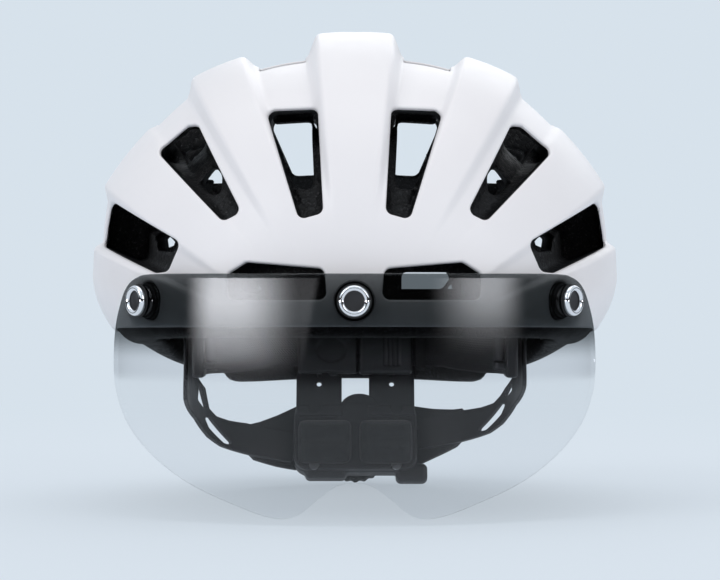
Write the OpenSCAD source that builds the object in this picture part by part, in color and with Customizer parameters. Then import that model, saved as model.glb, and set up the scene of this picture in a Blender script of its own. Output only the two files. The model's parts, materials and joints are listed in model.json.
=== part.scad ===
// Vented helmet with a magnetic visor and a dial-adjusted head cradle.
// Millimetres. The face looks along -Y, +Z is up, and the ribs fan out from the Y axis.

/* [Helmet] */
// Width over the widest ribs
helmet_w = 214; // [206:1:224]
// Length from brow to tail
helmet_l = 280; // [272:1:296]
// Height of the crown above the rib axis
crown_h = 131; // [128:1:140]
// Thickness of the outer skin
shell_t = 1.6; // [1.2:0.1:2.4]
// Gap between the skin and the foam
bond_gap = 0.2; // [0.1:0.05:0.4]
// Height of the skin's lower edge at the brow
shell_front_z = 13; // [11:0.5:15]
// Height of the foam's lower edge at the brow
foam_front_z = 9; // [7:0.5:10.5]
// How far the foam reaches below the rib axis behind the ears
lobe_drop = 14; // [10:0.5:17]

/* [Ribs and channels] */
// Depth of the channels beside the middle rib
channel_1_depth = 9; // [7:0.5:11]
// Depth of the second channels
channel_2_depth = 4.5; // [3:0.5:7]
// Depth of the side channels
channel_3_depth = 3; // [2:0.5:6]
// Corner radius of the vents
vent_round = 2.9; // [1.5:0.1:3.5]

/* [Head cavity] */
// Width of the head cavity
head_w = 160; // [154:1:164]
// Length of the head cavity
head_l = 204; // [198:1:208]
// Height of the head cavity above the rib axis
head_h = 104; // [100:1:107]
// How far the cavity's middle sits ahead of the helmet's
head_shift = 8; // [6:0.5:10]

/* [Pads] */
// Thickness of the comfort pads
pad_t = 7; // [5:0.5:9]
// Gap between a pad and what carries it
pad_gap = 0.6; // [0.3:0.05:0.8]

/* [Visor] */
// How much smaller the lens's turning radius is than the helmet's half width
lens_inset = 8; // [6:0.5:12]
// Thickness of the lens
lens_t = 2; // [1.5:0.1:2.6]
// Gap between the brow's tip and the lens's outer face
brow_gap = 8; // [7:0.5:12]
// Height of the lens's top edge
lens_top_z = 32; // [30:0.5:34]
// Height of the nose notch
nose_z = -43.7; // [-47:0.1:-41]
// Height of the lens's two lowest points
lens_low_z = -57; // [-62:0.5:-54]
// Angle of the side magnets, seen from above
magnet_angle = 53; // [49:0.5:55]
// Height of the three magnets
magnet_z = 22; // [20:0.5:23.5]
// Radius of the bright rings
ring_out_r = 6.2; // [5.8:0.1:7]
// Radius of the studs' bodies
stud_r = 4.1; // [3.6:0.1:4.4]
// Radius of the sockets in the brow
socket_r = 7; // [6.6:0.1:7.6]
// Depth of the sockets
socket_l = 13; // [11:0.5:15]
// Radius of the sockets' magnets
socket_magnet_r = 5; // [4.5:0.1:5.5]
// Thickness of the sockets' magnets
socket_magnet_t = 3; // [2:0.1:4]

/* [Cradle] */
// Outer radius of the belts
belt_r = 72; // [70:0.5:73]
// Thickness of the belts
belt_t = 1.8; // [1.4:0.1:2.2]
// Height of the belts
belt_h = 14; // [12:0.5:15]
// Height of the belts' lower slots
slot_h = 5; // [3.5:0.5:5.5]
// How far the belts tilt down to the nape, in degrees
cradle_slope = 20; // [17:0.5:23]
// Height of the belts' middle under the pins, below the rib axis
belt_drop = 18; // [16:0.5:20]
// Distance of the temple pins behind the helmet's middle
pin_y = 22; // [19:0.5:25]
// Height of the temple pins
pin_z = 14; // [12:0.5:16]
// Radius of the temple pins
pin_r = 3; // [2.5:0.1:3.4]
// Half width of the dial housing
housing_x = 27; // [26:0.5:29]
// Half height of the dial housing
housing_z = 15; // [14.5:0.1:16]
// Radius of the dial knob
knob_r = 14; // [12:0.5:15]
// Thickness of the dial knob
knob_h = 8; // [7:0.5:10]
// Radius of the pinion's shaft
shaft_r = 2.5; // [2.2:0.1:2.8]
// Thickness of the hanger strips
hanger_t = 1.6; // [1.2:0.1:2]
// Width of the hanger strips
hanger_w = 20; // [16:0.5:21]

/* [Straps] */
// Width of the webbing
web_w = 15; // [13:0.5:16]
// Thickness of the webbing
web_t = 1.6; // [1.2:0.1:2]
// Length of the buckle's female half
female_l = 26; // [24:0.5:30]
// Height of the buckle
buckle_h = 22; // [20:0.5:24]
// Thickness of the buckle
buckle_t = 9; // [8:0.5:10]

/* [Hidden] */
$fn = 48;

// Running clearance of a shaft in its bore, and the gap between fixed pieces
fit = 0.05;
seat = 0.2;

// Outer form
side_r = helmet_w / 2 + 2;
half_l = helmet_l / 2;
dome_power = 2.3;
// How far this helmet's sizes are from those at which vents and edges were drawn
wide_k = side_r / 109;
long_k = half_l / 140;
high_k = crown_h / 131;
// Swell of the ribs over a plain ellipse, by the angle from the crown
rib_swell = [
    [0, 1], [6.8, 1.005], [20.2, 1.013], [30.4, 1.051], [42.2, 1.038], [56, 1.07],
    [72, 1.01], [98, 1], [116, 1]];
tuck_from = 72;
tuck_to = 82.5;
tuck_depth = 9;
under_angle = 116;
// Each channel: rim, floor from, floor to, rim, all as angles from the crown, then its depth at the inner
// side of the floor and how much of that is left at the outer side
channels = [
    [6.8, 8.9, 19, 20.2, channel_1_depth, 0.7],
    [30.4, 32.6, 41, 42.2, channel_2_depth, 0.4],
    [56, 58, 66, 67.5, channel_3_depth, 1.2]];
rib_keys = concat([0], [for (c = channels) for (i = [0:3]) c[i]], [tuck_from, tuck_to, 98, under_angle]);
// How far the ribs spread outwards from the crown to brow and tail, in degrees
rib_spread = 0.8;
ring_step = 10.5;
ring_end = 84;
ring_angles = [for (phi = [-ring_end:ring_step:ring_end]) phi];

// Head cavity
cav_power = 2.2;
cav_x = head_w / 2;
cav_y = head_l / 2;

// Cradle
ring_z = -belt_drop;
travel = 4.5;
pin_seat_x = belt_r + 5.6;
anchor_r = 9;
// Share of the foam's thickness that a temple anchor fills
anchor_share = 0.382;
anchor_l = (side_r - pin_seat_x) * anchor_share;
eye_r = 5.5;
eye_end_x = pin_seat_x - 0.8;
belt_end_angle = 67;
leg_half_angle = 6.5;
leg_inset = 0.3;
boss_r = 9.2;
boss_in_x = belt_r - belt_t - 0.35;
tail_y = belt_r - 7.4;
tail_t = 2;
tail_end_x = -14;
base_t = 3.2;
base_y = tail_y - 3 - base_t;
cover_t = 2.2;
cover_y = base_y + base_t + seat;
cover_inner_y = tail_y + tail_t + 1.8;
cover_end_y = cover_inner_y + cover_t;
channel_z = 10.8;
hanger_r = belt_r - 1;
hanger_gap = 12;
hanger_low = -37;
hanger_top = -4;
raise_angle = 6;
guide_low = -15;
guide_top = -6;
guide_in = 2;
guide_out = 4.4;
washer_t = 0.6;
washer_gap = 0.15;
knob_y = cover_end_y + washer_t + 2 * washer_gap;

// Pinion and racks
tooth_module = 1;
pinion_teeth = 8;
pinion_r = pinion_teeth * tooth_module / 2;
pressure = 25;
backlash = 0.3;
gear_y = tail_y - 0.2;
gear_t = 2.4;
pinion_add = 0.7;
rack_add = 0.6;
rack_ded = 0.9;
rack_back = 3.5;

// Visor studs, as distances from the lens's axis, which stands lens_axis ahead of the helmet's middle
lens_r = side_r - lens_inset;
lens_axis = half_l + brow_gap - lens_r;
lens_in_r = lens_r - lens_t;
gasket_t = 0.5;
ring_t = 2.3;
ring_wall = 1.8;
flange_t = 1.5;
flange_face = lens_in_r - 0.3;
stud_back = flange_face - flange_t;
socket_face = stud_back - seat;
magnet_t = 1.2;

// Rounded numbers that place the webbing: x, y and z of the middle, then the direction its face looks
divider_x = 64.2;
divider_y = 2;
divider_z = 7;
divider_t = 5;
divider_l = 20;
divider_h = 34;
buckle_y = 78;
buckle_z = 0;
front_anchor = [72.4, -44, 16];
rear_anchor = [61.2, 58.5, 16];
anchor_plate_r = 8;
anchor_plate_l = 9;
front_route = [
    [72.0, -44, 16, 1, -0.25, 0],
    [69.4, -34, 16, 1, -0.2, 0],
    [66.4, -22, 16, 1, -0.1, 0],
    [64.2, -8.3, 16, 1, 0, 0]];
rear_route = [
    [64.2, 12.3, 16, 1, 0, 0],
    [64.0, 24, 16, 1, 0.03, 0],
    [63.4, 40, 16, 1, 0.12, 0],
    [62.5, 50, 16, 1, 0.25, 0],
    [60.8, 58.1, 16, 1, 0.5, 0]];
chin_route = [
    [64.2, 12.3, -2, 1, 0, 0],
    [63.5, 24, -2, 1, 0.1, 0],
    [60.6, 40, -2, 1, 0.35, 0],
    [54.0, 54, -2, 1, 0.7, 0],
    [44.0, 67.5, -1, 0.8, 1, 0],
    [37.5, 75.2, 0, 0.5, 1, 0],
    [32.0, 78, 0, 0, 1, 0],
    [25.3, 78, 0, 0, 1, 0]];

// Shape functions
function spow(v, e) = sign(v) * pow(abs(v), e);
function clamp01(v) = max(0, min(1, v));
function smooth(v) = let (c = clamp01(v)) c * c * (3 - 2 * c);
function fill(keys, step) = [
    for (i = [0:len(keys) - 2])
        let (n = ceil((keys[i + 1] - keys[i]) / step))
        for (k = [0:n - 1]) keys[i] + (keys[i + 1] - keys[i]) * k / n,
    keys[len(keys) - 1]];
function mirrored(angles) = concat(
    [for (i = [len(angles) - 1:-1:1]) -angles[i]],
    angles);
function envelope(a) =
    lookup(abs(a), rib_swell) / sqrt(pow(sin(a) / side_r, 2) + pow(cos(a) / crown_h, 2));
function tuck(a) = tuck_depth * pow(max(0, (min(abs(a), 100) - tuck_from) / (tuck_to - tuck_from)), 1.6);
function channel_depth(a) = max([
    for (c = channels)
        let (
            rise = clamp01((abs(a) - c[0]) / (c[1] - c[0])),
            fall = clamp01((c[3] - abs(a)) / (c[3] - c[2])),
            across = clamp01((abs(a) - c[1]) / (c[2] - c[1])))
        c[4] * (1 + (c[5] - 1) * across) * min(rise, fall)]);
function taper(phi) = pow(cos(phi), 2 / dome_power);
function channel_fade(phi) = phi < 0
    ? smooth((taper(phi) - 0.36) / 0.24)
    : smooth((taper(phi) - 0.3) / 0.25);
function dome_point(a, phi, inset) =
    let (
        r = (envelope(a) - tuck(a) - channel_depth(a) * channel_fade(phi) - inset) * taper(phi),
        turned = a + sign(a) * rib_spread * abs(phi) / ring_end)
    [r * sin(turned), (half_l - inset) * spow(sin(phi), 2 / dome_power), r * cos(turned)];

// Roll form of the cavity wall: a turns about the Y axis from the crown, phi runs from brow to nape
function cavity_roll(a, phi, t) =
    let (c = pow(cos(phi), 2 / cav_power))
    [(cav_x - t) * c * spow(sin(a), 2 / cav_power),
     (cav_y - t) * spow(sin(phi), 2 / cav_power) - head_shift,
     (head_h - t) * c * spow(cos(a), 2 / cav_power)];
// Plan form of the cavity wall: a turns about the Z axis from +X, up is the elevation
function cavity_plan(a, up, t) =
    let (c = pow(cos(up), 2 / cav_power))
    [(cav_x - t) * c * spow(cos(a), 2 / cav_power),
     (cav_y - t) * c * spow(sin(a), 2 / cav_power) - head_shift,
     (head_h - t) * spow(sin(up), 2 / cav_power)];

function curve_at(p, i, s) =
    let (
        n = len(p) - 1,
        a = p[max(i - 1, 0)],
        b = p[i],
        c = p[min(i + 1, n)],
        d = p[min(i + 2, n)])
    0.5 * (2 * b + (c - a) * s + (2 * a - 5 * b + 4 * c - d) * s * s + (3 * b - a - 3 * c + d) * s * s * s);
function curve(p, steps) = concat(
    [for (i = [0:len(p) - 2]) for (k = [0:steps - 1]) curve_at(p, i, k / steps)],
    [p[len(p) - 1]]);

// Solid from closed rings of equal length, with a point at each end or flat ends
module rings_solid(rings, tips = []) {
    n = len(rings);
    m = len(rings[0]);
    body = [for (r = rings) for (p = r) p];
    sides = [
        for (i = [0:n - 2]) for (k = [0:m - 1])
            let (a = i * m + k, b = i * m + (k + 1) % m)
            each [[a, b + m, b], [a, a + m, b + m]]];
    if (len(tips) == 2) {
        fans = [
            for (k = [0:m - 1])
                each [[n * m, k, (k + 1) % m], [n * m + 1, (n - 1) * m + (k + 1) % m, (n - 1) * m + k]]];
        polyhedron(concat(body, tips), concat(sides, fans));
    } else {
        caps = [[for (k = [0:m - 1]) k], [for (k = [m - 1:-1:0]) (n - 1) * m + k]];
        polyhedron(body, concat(sides, caps));
    }
}

module dome(inset) {
    angles = mirrored(fill(rib_keys, 11));
    rings_solid(
        [for (phi = ring_angles) [for (a = angles) dome_point(a, phi, inset)]],
        [[0, -half_l + inset, 0], [0, half_l - inset, 0]]);
}

module cavity(t = 0) {
    ups = [0, 8, 16, 24, 32, 40, 50, 60, 70, 80];
    azimuths = [for (a = [0:6:354]) a];
    floor_z = -60;
    rings = concat(
        [[for (a = azimuths) let (p = cavity_plan(a, 0, t)) [p[0], p[1], floor_z]]],
        [for (i = [0:len(ups) - 1]) [for (a = azimuths) cavity_plan(a + 3 * (i % 2), ups[i], t)]]);
    rings_solid(rings, [[0, -head_shift, floor_z], [0, -head_shift, head_h - t]]);
}

// Everything below an edge line that runs from brow to tail
module below_edge(edge) {
    pts = [for (p = curve(edge, 4)) [p[0] * long_k, p[1]]];
    deep = -120;
    outer = 2 * side_r;
    rotate([90, 0, 90])
        translate([0, 0, -outer])
            linear_extrude(2 * outer)
                polygon(concat([[pts[0][0], deep]], pts, [[pts[len(pts) - 1][0], deep]]));
}

shell_edge = [
    [-160, shell_front_z], [-100, shell_front_z - 1], [-50, 11], [-15, 9], [20, 8],
    [48, 0], [78, 6 - lobe_drop], [110, -4], [160, -2]];
foam_edge = [
    [-160, foam_front_z], [-100, foam_front_z - 1], [-50, 6.5], [-15, 4], [18, 3],
    [45, -7], [75, -lobe_drop], [100, 1 - lobe_drop], [125, -9], [160, -8]];

module vent_outline(points) {
    offset(r = vent_round, $fn = 8)
        offset(delta = -vent_round)
            polygon(points);
}

// Vent whose outline is seen from the front, cut from y_from to y_to
module y_vent(points, y_from, y_to) {
    translate([0, y_to, 0])
        rotate([90, 0, 0])
            linear_extrude(y_to - y_from)
                vent_outline([for (p = points) [p[0] * wide_k, p[1] * high_k]]);
}

// Vent cut along the radius at an angle from the crown
module roll_vent(angle, y_mid, length, width) {
    rotate([0, angle, 0])
        translate([0, y_mid * long_k, 60])
            linear_extrude(100)
                vent_outline([
                    [-width / 2, -length / 2], [width / 2, -length / 2],
                    [width / 2, length / 2], [-width / 2, length / 2]]);
}

front_vents = [
    [[[-34, 95], [-14, 95.5], [-11.5, 54.5], [-20.5, 52]], -40],
    [[[-77, 80], [-65, 90], [-60.5, 90], [-42, 55], [-49, 51.5]], -10],
    [[[-97, 62], [-65, 44], [-70, 33], [-75, 32.5], [-101, 44]], -12],
    [[[-47, 22.5], [-47, 32], [-40, 36.5], [-11, 34], [-10, 22.5]], -85]];
rear_vents = [
    [[[-38, 101], [-17, 101], [-15.5, 76], [-27, 75.5]], 0],
    [[[-72, 84], [-55, 86], [-50, 72.5], [-66, 72]], 0],
    [[[-90, 55], [-75, 56], [-71.5, 48], [-86, 42]], 20],
    [[[-51, 36], [-16, 39], [-13, 21], [-48, 20]], 80]];
// Angle from the crown, y of the middle, length, width
roll_vents = [
    [14, -24, 50, 19], [14, 38, 48, 19],
    [36.8, -14, 46, 16], [36.8, 42, 38, 16],
    [62, 34, 44, 14]];

module vents() {
    for (side = [0, 1])
        mirror([side, 0, 0]) {
            for (v = front_vents)
                y_vent(v[0], -half_l - 20, v[1] * long_k);
            for (v = rear_vents)
                y_vent(v[0], v[1] * long_k, half_l + 20);
            for (v = roll_vents)
                roll_vent(-v[0], v[1], v[2], v[3]);
        }
}

// Places its children at a visor stud: local +Z runs outwards from the lens's axis
module at_stud(angle) {
    translate([0, -lens_axis, magnet_z])
        rotate([0, 0, angle])
            rotate([90, 0, 0])
                children();
}

module at_studs() {
    for (side = [-1, 0, 1])
        at_stud(side * magnet_angle)
            children();
}

module socket_pockets(r) {
    at_studs()
        translate([0, 0, socket_face - socket_l - seat])
            cylinder(r = r, h = socket_l + 20);
}

module outer_shell() {
    color("white")
        resize([0, 0, 0])
            difference() {
                dome(0);
                dome(shell_t);
                below_edge(shell_edge);
                vents();
                socket_pockets(socket_r + seat);
            }
}

module eps_liner() {
    color("black")
        resize([0, 0, 0])
            difference() {
                dome(shell_t + bond_gap);
                cavity();
                below_edge(foam_edge);
                vents();
                socket_pockets(socket_r + seat);
                for (side = [-1, 1])
                    translate([side * (pin_seat_x + anchor_l / 2 - 5), pin_y, pin_z])
                        rotate([0, 90, 0])
                            cylinder(r = anchor_r + seat, h = anchor_l + 10 + 2 * seat, center = true);
                strap_pockets();
                about_pins(guide_low - 0.4, guide_top + 0.4)
                    translate([hanger_r - guide_in - seat, -housing_x - seat])
                        square([hanger_t + guide_in + guide_out + 2 * seat, 2 * (housing_x + seat)]);
                hanger_slots(hanger_low, hanger_top + raise_angle + 3, 0.6);
            }
}

module at_strap_anchor(place, lean) {
    translate(place)
        rotate([0, 0, lean])
            rotate([0, 90, 0])
                children();
}

front_lean = -14;
rear_lean = 27;

module strap_pockets() {
    for (side = [0, 1])
        mirror([side, 0, 0])
            for (a = [[front_anchor, front_lean], [rear_anchor, rear_lean]])
                at_strap_anchor(a[0], a[1])
                    translate([0, 0, -8])
                        cylinder(r = anchor_plate_r + seat, h = anchor_plate_l + 8 + seat);
}

// Plugs that hold the ends of the webbing in the foam
module strap_anchors() {
    color("dimgray")
        for (side = [0, 1])
            mirror([side, 0, 0])
                for (a = [[front_anchor, front_lean], [rear_anchor, rear_lean]])
                    at_strap_anchor(a[0], a[1])
                        translate([0, 0, web_t / 2])
                            cylinder(r = anchor_plate_r, h = anchor_plate_l - web_t / 2);
}

// Ring sector about the line through the two temple pins. A profile's first axis is the distance from that
// line, its second runs along X. Angles are counted from straight back, upwards.
module about_pins(from, to) {
    translate([0, pin_y, pin_z])
        rotate([from + 90, 0, 0])
            rotate([0, 90, 0])
                rotate_extrude(angle = to - from, $fn = 96)
                    children();
}

// Two strips or their slots, between two angles, with a gap all round
module hanger_slots(from, to, gap) {
    for (side = [-1, 1])
        about_pins(from, to)
            translate([hanger_r - gap, side * (hanger_gap + hanger_w) / 2 - hanger_w / 2 - gap])
                square([hanger_t + 2 * gap, hanger_w + 2 * gap]);
}

module height_guide() {
    color("dimgray")
        difference() {
            about_pins(guide_low, guide_top)
                translate([hanger_r - guide_in, -housing_x])
                    square([hanger_t + guide_in + guide_out, 2 * housing_x]);
            hanger_slots(guide_low - 1, guide_top + 1, 0.3);
        }
}

module temple_pin(side) {
    pin_in = belt_r - belt_t + 1.2;
    color("dimgray")
        mirror([side < 0 ? 1 : 0, 0, 0])
            translate([0, pin_y, pin_z])
                rotate([0, 90, 0]) {
                    translate([0, 0, pin_seat_x])
                        cylinder(r = anchor_r, h = anchor_l);
                    translate([0, 0, pin_in])
                        cylinder(r = pin_r, h = pin_seat_x + 1 - pin_in);
                }
}

module visor_sockets() {
    color("black")
        at_studs()
            difference() {
                translate([0, 0, socket_face - socket_l])
                    cylinder(r = socket_r, h = socket_l);
                translate([0, 0, socket_face - socket_magnet_t - seat])
                    cylinder(r = socket_magnet_r + fit, h = socket_magnet_t + 1);
            }
}

module socket_magnets() {
    color("silver")
        at_studs()
            translate([0, 0, socket_face - socket_magnet_t])
                cylinder(r = socket_magnet_r, h = socket_magnet_t);
}

// Half outline of the lens, seen from the front, from its top middle round to the nose
drawn_r = 101;
lens_half = [
    [0, lens_top_z], [40, lens_top_z], [74, lens_top_z], [82, lens_top_z - 1.2], [86.6, lens_top_z - 5],
    [89.5, lens_top_z - 12], [91.6, 11], [92.3, -2], [91, -13], [86, -24.5], [76, -35.5], [61, -45.4],
    [42, lens_low_z + 3.8], [32, lens_low_z + 0.6], [25.5, lens_low_z], [19.8, lens_low_z + 1.8],
    [13.3, nose_z - 6.2], [6.2, nose_z - 1.2], [0, nose_z]];

module visor_lens() {
    half = [for (p = curve(lens_half, 2)) [p[0] * lens_r / drawn_r, p[1]]];
    far = len(half) - 2;
    outline = concat(half, [for (i = [far:-1:1]) [-half[i][0], half[i][1]]]);
    color([0.3, 0.3, 0.33, 0.5])
        difference() {
            intersection() {
                translate([0, -lens_axis, lens_low_z - 5])
                    rotate([0, 0, 180])
                        rotate_extrude(angle = 180, $fn = 180)
                            translate([lens_in_r, 0])
                                square([lens_t, lens_top_z - lens_low_z + 10]);
                rotate([90, 0, 0])
                    linear_extrude(200)
                        polygon(outline);
            }
            at_studs()
                translate([0, 0, lens_in_r - 5])
                    cylinder(r = stud_r + 0.1, h = lens_t + 10);
        }
}

module stud_ring(angle) {
    color("silver")
        at_stud(angle)
            translate([0, 0, lens_r + gasket_t + 0.2])
                rotate_extrude()
                    polygon([
                        [stud_r + 0.3, 0], [ring_out_r, 0], [ring_out_r, ring_t * 0.55],
                        [ring_out_r - ring_wall * 0.3, ring_t], [ring_out_r - ring_wall * 0.55, ring_t],
                        [stud_r + 0.3, ring_t * 0.45]]);
}

module stud_gaskets() {
    color("black")
        at_studs()
            translate([0, 0, lens_r + 0.1])
                difference() {
                    cylinder(r = ring_out_r + 0.5, h = gasket_t);
                    translate([0, 0, -1])
                        cylinder(r = stud_r + 0.2, h = gasket_t + 2);
                }
}

module visor_studs() {
    color("black")
        at_studs()
            difference() {
                union() {
                    translate([0, 0, stud_back])
                        cylinder(r = ring_out_r + 0.2, h = flange_t);
                    translate([0, 0, stud_back])
                        cylinder(r = stud_r, h = flange_t + 0.3 + lens_t + gasket_t + 1.2);
                }
                translate([0, 0, stud_back - 1])
                    cylinder(r = stud_r - 0.5 + fit, h = magnet_t + 1.1);
            }
}

module visor_magnets() {
    color("silver")
        at_studs()
            translate([0, 0, stud_back])
                cylinder(r = stud_r - 0.5, h = magnet_t);
}

// Cushion on the cavity wall: wall(u, v, t) gives its points, and the edges draw in to a fifth
function crown(s) = pow(1 - pow(abs(2 * s - 1), 3), 0.5);
function pad_depth(u, v, thick) = pad_gap + thick * (0.22 + 0.78 * crown(u) * crown(v));

module pad_solid(front, back) {
    n = len(front);
    m = len(front[0]);
    grid = n * m;
    body = concat([for (r = front) for (p = r) p], [for (r = back) for (p = r) p]);
    faces = [
        for (i = [0:n - 2]) for (k = [0:m - 2])
            let (a = i * m + k, b = a + m)
            each [
                [a, b + 1, a + 1], [a, b, b + 1],
                [grid + a, grid + a + 1, grid + b + 1], [grid + a, grid + b + 1, grid + b]]];
    rows = [
        for (k = [0:m - 2])
            let (a = k, b = (n - 1) * m + k)
            each [
                [a, a + 1, grid + a], [grid + a, a + 1, grid + a + 1],
                [b + 1, b, grid + b + 1], [grid + b + 1, b, grid + b]]];
    cols = [
        for (i = [0:n - 2])
            let (a = i * m, b = i * m + m - 1)
            each [
                [a + m, a, grid + a + m], [grid + a + m, a, grid + a],
                [b, b + m, grid + b], [grid + b, b + m, grid + b + m]]];
    polyhedron(body, concat(faces, rows, cols));
}

module roll_pad(a0, a1, p0, p1, thick, na = 8, np = 12) {
    color("dimgray")
        pad_solid(
            [for (i = [0:na]) [for (k = [0:np])
                cavity_roll(
                    a0 + (a1 - a0) * i / na,
                    p0 + (p1 - p0) * k / np,
                    pad_depth(i / na, k / np, thick))]],
            [for (i = [0:na]) [for (k = [0:np])
                cavity_roll(a0 + (a1 - a0) * i / na, p0 + (p1 - p0) * k / np, pad_gap)]]);
}

module plan_pad(a0, a1, u0, u1, thick, na = 16, nu = 6) {
    color("dimgray")
        pad_solid(
            [for (i = [0:na]) [for (k = [0:nu])
                cavity_plan(
                    a0 + (a1 - a0) * i / na,
                    u0 + (u1 - u0) * k / nu,
                    pad_depth(i / na, k / nu, thick))]],
            [for (i = [0:na]) [for (k = [0:nu])
                cavity_plan(a0 + (a1 - a0) * i / na, u0 + (u1 - u0) * k / nu, pad_gap)]]);
}

module brow_pad() {
    plan_pad(-136, -44, 4.5, 13, pad_t, 18, 5);
}

module crown_pad() {
    roll_pad(-6.5, 6.5, -34, 30, pad_t, 6, 14);
}

module side_crown_pad(side) {
    roll_pad(side * 30 - 4, side * 30 + 4, -22, 26, pad_t - 1, 6, 12);
}

module side_pad(side) {
    mirror([side < 0 ? 1 : 0, 0, 0])
        plan_pad(-38, -4, 12, 28, pad_t - 2, 10, 6);
}

// Webbing along a route, each point giving the place and the way its face looks
module webbing(route) {
    pts = curve(route, 3);
    n = len(pts);
    rings = [
        for (i = [0:n - 1])
            let (
                p = [pts[i][0], pts[i][1], pts[i][2]],
                face_raw = [pts[i][3], pts[i][4], pts[i][5]],
                face = face_raw / norm(face_raw),
                along = [pts[min(i + 1, n - 1)][0] - pts[max(i - 1, 0)][0],
                    pts[min(i + 1, n - 1)][1] - pts[max(i - 1, 0)][1],
                    pts[min(i + 1, n - 1)][2] - pts[max(i - 1, 0)][2]],
                across = cross(face, along) / norm(cross(face, along)))
            [for (c = [[-1, -1], [1, -1], [1, 1], [-1, 1]])
                p + across * c[0] * web_w / 2 + face * c[1] * web_t / 2]];
    rings_solid(rings);
}

module strap(side, route) {
    color("black")
        mirror([side < 0 ? 1 : 0, 0, 0])
            webbing(route);
}

// Strap divider with the bearings of its cam lever
lever_y = divider_y - divider_l / 2 + 4;
lever_pin_r = 1.5;
lever_gap = 0.3;
lever_w = 20;
lever_l = 14;
lever_t = 2.4;
lever_x = divider_x - divider_t / 2 - 2.6;

module divider(side) {
    color("black")
        mirror([side < 0 ? 1 : 0, 0, 0])
            difference() {
                union() {
                    translate([
                        divider_x - divider_t / 2,
                        divider_y - divider_l / 2,
                        divider_z - divider_h / 2])
                        cube([divider_t, divider_l, divider_h]);
                    for (end = [-1, 1])
                        translate([lever_x, lever_y, divider_z + end * (lever_w / 2 + lever_gap + 1.5)])
                            hull($fn = 32) {
                                cylinder(r = 2.6, h = 3, center = true);
                                translate([divider_t / 2 + 2, 0, 0])
                                    cube([1, 5.2, 3], center = true);
                            }
                }
                translate([lever_x, lever_y, divider_z])
                    cylinder(r = lever_pin_r + fit, h = lever_w + 20, center = true);
            }
}

module cam_lever(side) {
    color("dimgray")
        mirror([side < 0 ? 1 : 0, 0, 0])
            translate([lever_x, lever_y, divider_z]) {
                cylinder(r = lever_pin_r, h = lever_w + 2 * lever_gap + 6, center = true);
                cylinder(r = 2.2, h = lever_w, center = true);
                translate([-lever_t / 2, 0, -lever_w / 2])
                    cube([lever_t, lever_l, lever_w]);
            }
}

// Buckle, its long axis along X, the female half on the left
female_x = -25;
female_end_x = female_x + female_l;
male_x = female_end_x + 0.4;
male_end_x = 25;
buckle_wall = 1.8;
prong_z = 6.8;
prong_h = 2.6;
prong_root_r = 1.5;
prong_pivot_x = male_x - prong_root_r - seat;
window_from = 9;
window_to = 18;

module buckle_female() {
    inner_h = buckle_h - 2 * buckle_wall;
    inner_t = buckle_t - 2 * buckle_wall;
    color("black")
        translate([0, buckle_y, buckle_z])
            difference() {
                translate([female_x, -buckle_t / 2, -buckle_h / 2])
                    cube([female_l, buckle_t, buckle_h]);
                translate([female_x + 6, -inner_t / 2, -inner_h / 2])
                    cube([female_l, inner_t, inner_h]);
                translate([female_x + window_from, -inner_t / 2, -buckle_h])
                    cube([window_to - window_from, inner_t, 2 * buckle_h]);
            }
}

module buckle_male() {
    inner_t = buckle_t - 2 * buckle_wall - 0.8;
    color("black")
        translate([0, buckle_y, buckle_z]) {
            translate([male_x, -buckle_t / 2, -buckle_h / 2])
                cube([male_end_x - male_x, buckle_t, buckle_h]);
            translate([female_x + 9, -inner_t / 2, -1.8])
                cube([male_x - female_x - 8, inner_t, 3.6]);
        }
}

// Spring arm of the buckle, with a round root in front of the male half
module prong(side) {
    inner_t = buckle_t - 2 * buckle_wall - 0.8;
    barb_from = female_x + window_from + 0.6;
    barb_to = female_x + window_to - 0.6;
    color("black")
        translate([0, buckle_y, buckle_z])
            mirror([0, 0, side < 0 ? 1 : 0])
                rotate([90, 0, 0]) {
                    translate([prong_pivot_x, prong_z, 0])
                        cylinder(r = prong_root_r, h = inner_t, center = true);
                    linear_extrude(inner_t, center = true)
                        polygon([
                            [prong_pivot_x, prong_z - prong_h / 2], [prong_pivot_x, prong_z + prong_h / 2],
                            [barb_to, prong_z + prong_h / 2], [barb_to, buckle_h / 2 + 0.4],
                            [barb_to - 3, buckle_h / 2 + 0.8], [barb_from + 2.4, buckle_h / 2 - 1.4],
                            [barb_from, prong_z + 0.6], [barb_from, prong_z - prong_h / 2]]);
                }
}

// Rubber ring round the webbing beside the buckle
module strap_keeper() {
    keeper_x = 28.4;
    color("dimgray")
        translate([keeper_x, buckle_y + 0.1, buckle_z])
            difference() {
                cube([4.6, web_t + 3.4, web_w + 3.4], center = true);
                cube([8, web_t + 1, web_w + 0.8], center = true);
            }
}

// Frame of the cradle: local Y runs out to the nape in the plane of the belts
module cradle_frame() {
    translate([0, pin_y, ring_z])
        rotate([-cradle_slope, 0, 0])
            children();
}

function rack_outline(high) = let (
    pitch = PI * tooth_module,
    half = (pitch / 2 - backlash) / 2,
    lean = tan(pressure),
    count = floor(-tail_end_x / pitch))
    concat(
        [[14 + travel * 2, high + rack_ded]],
        [[14 + travel * 2, high + rack_ded + rack_back], [tail_end_x, high + rack_ded + rack_back],
         [tail_end_x, high + rack_ded]],
        [for (i = [-count:1:count - 1])
            let (mid = (i + 0.5) * pitch)
            each [
                [mid - half - rack_ded * lean, high + rack_ded],
                [mid - half + rack_add * lean, high - rack_add],
                [mid + half - rack_add * lean, high - rack_add],
                [mid + half + rack_ded * lean, high + rack_ded]]]);

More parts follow.
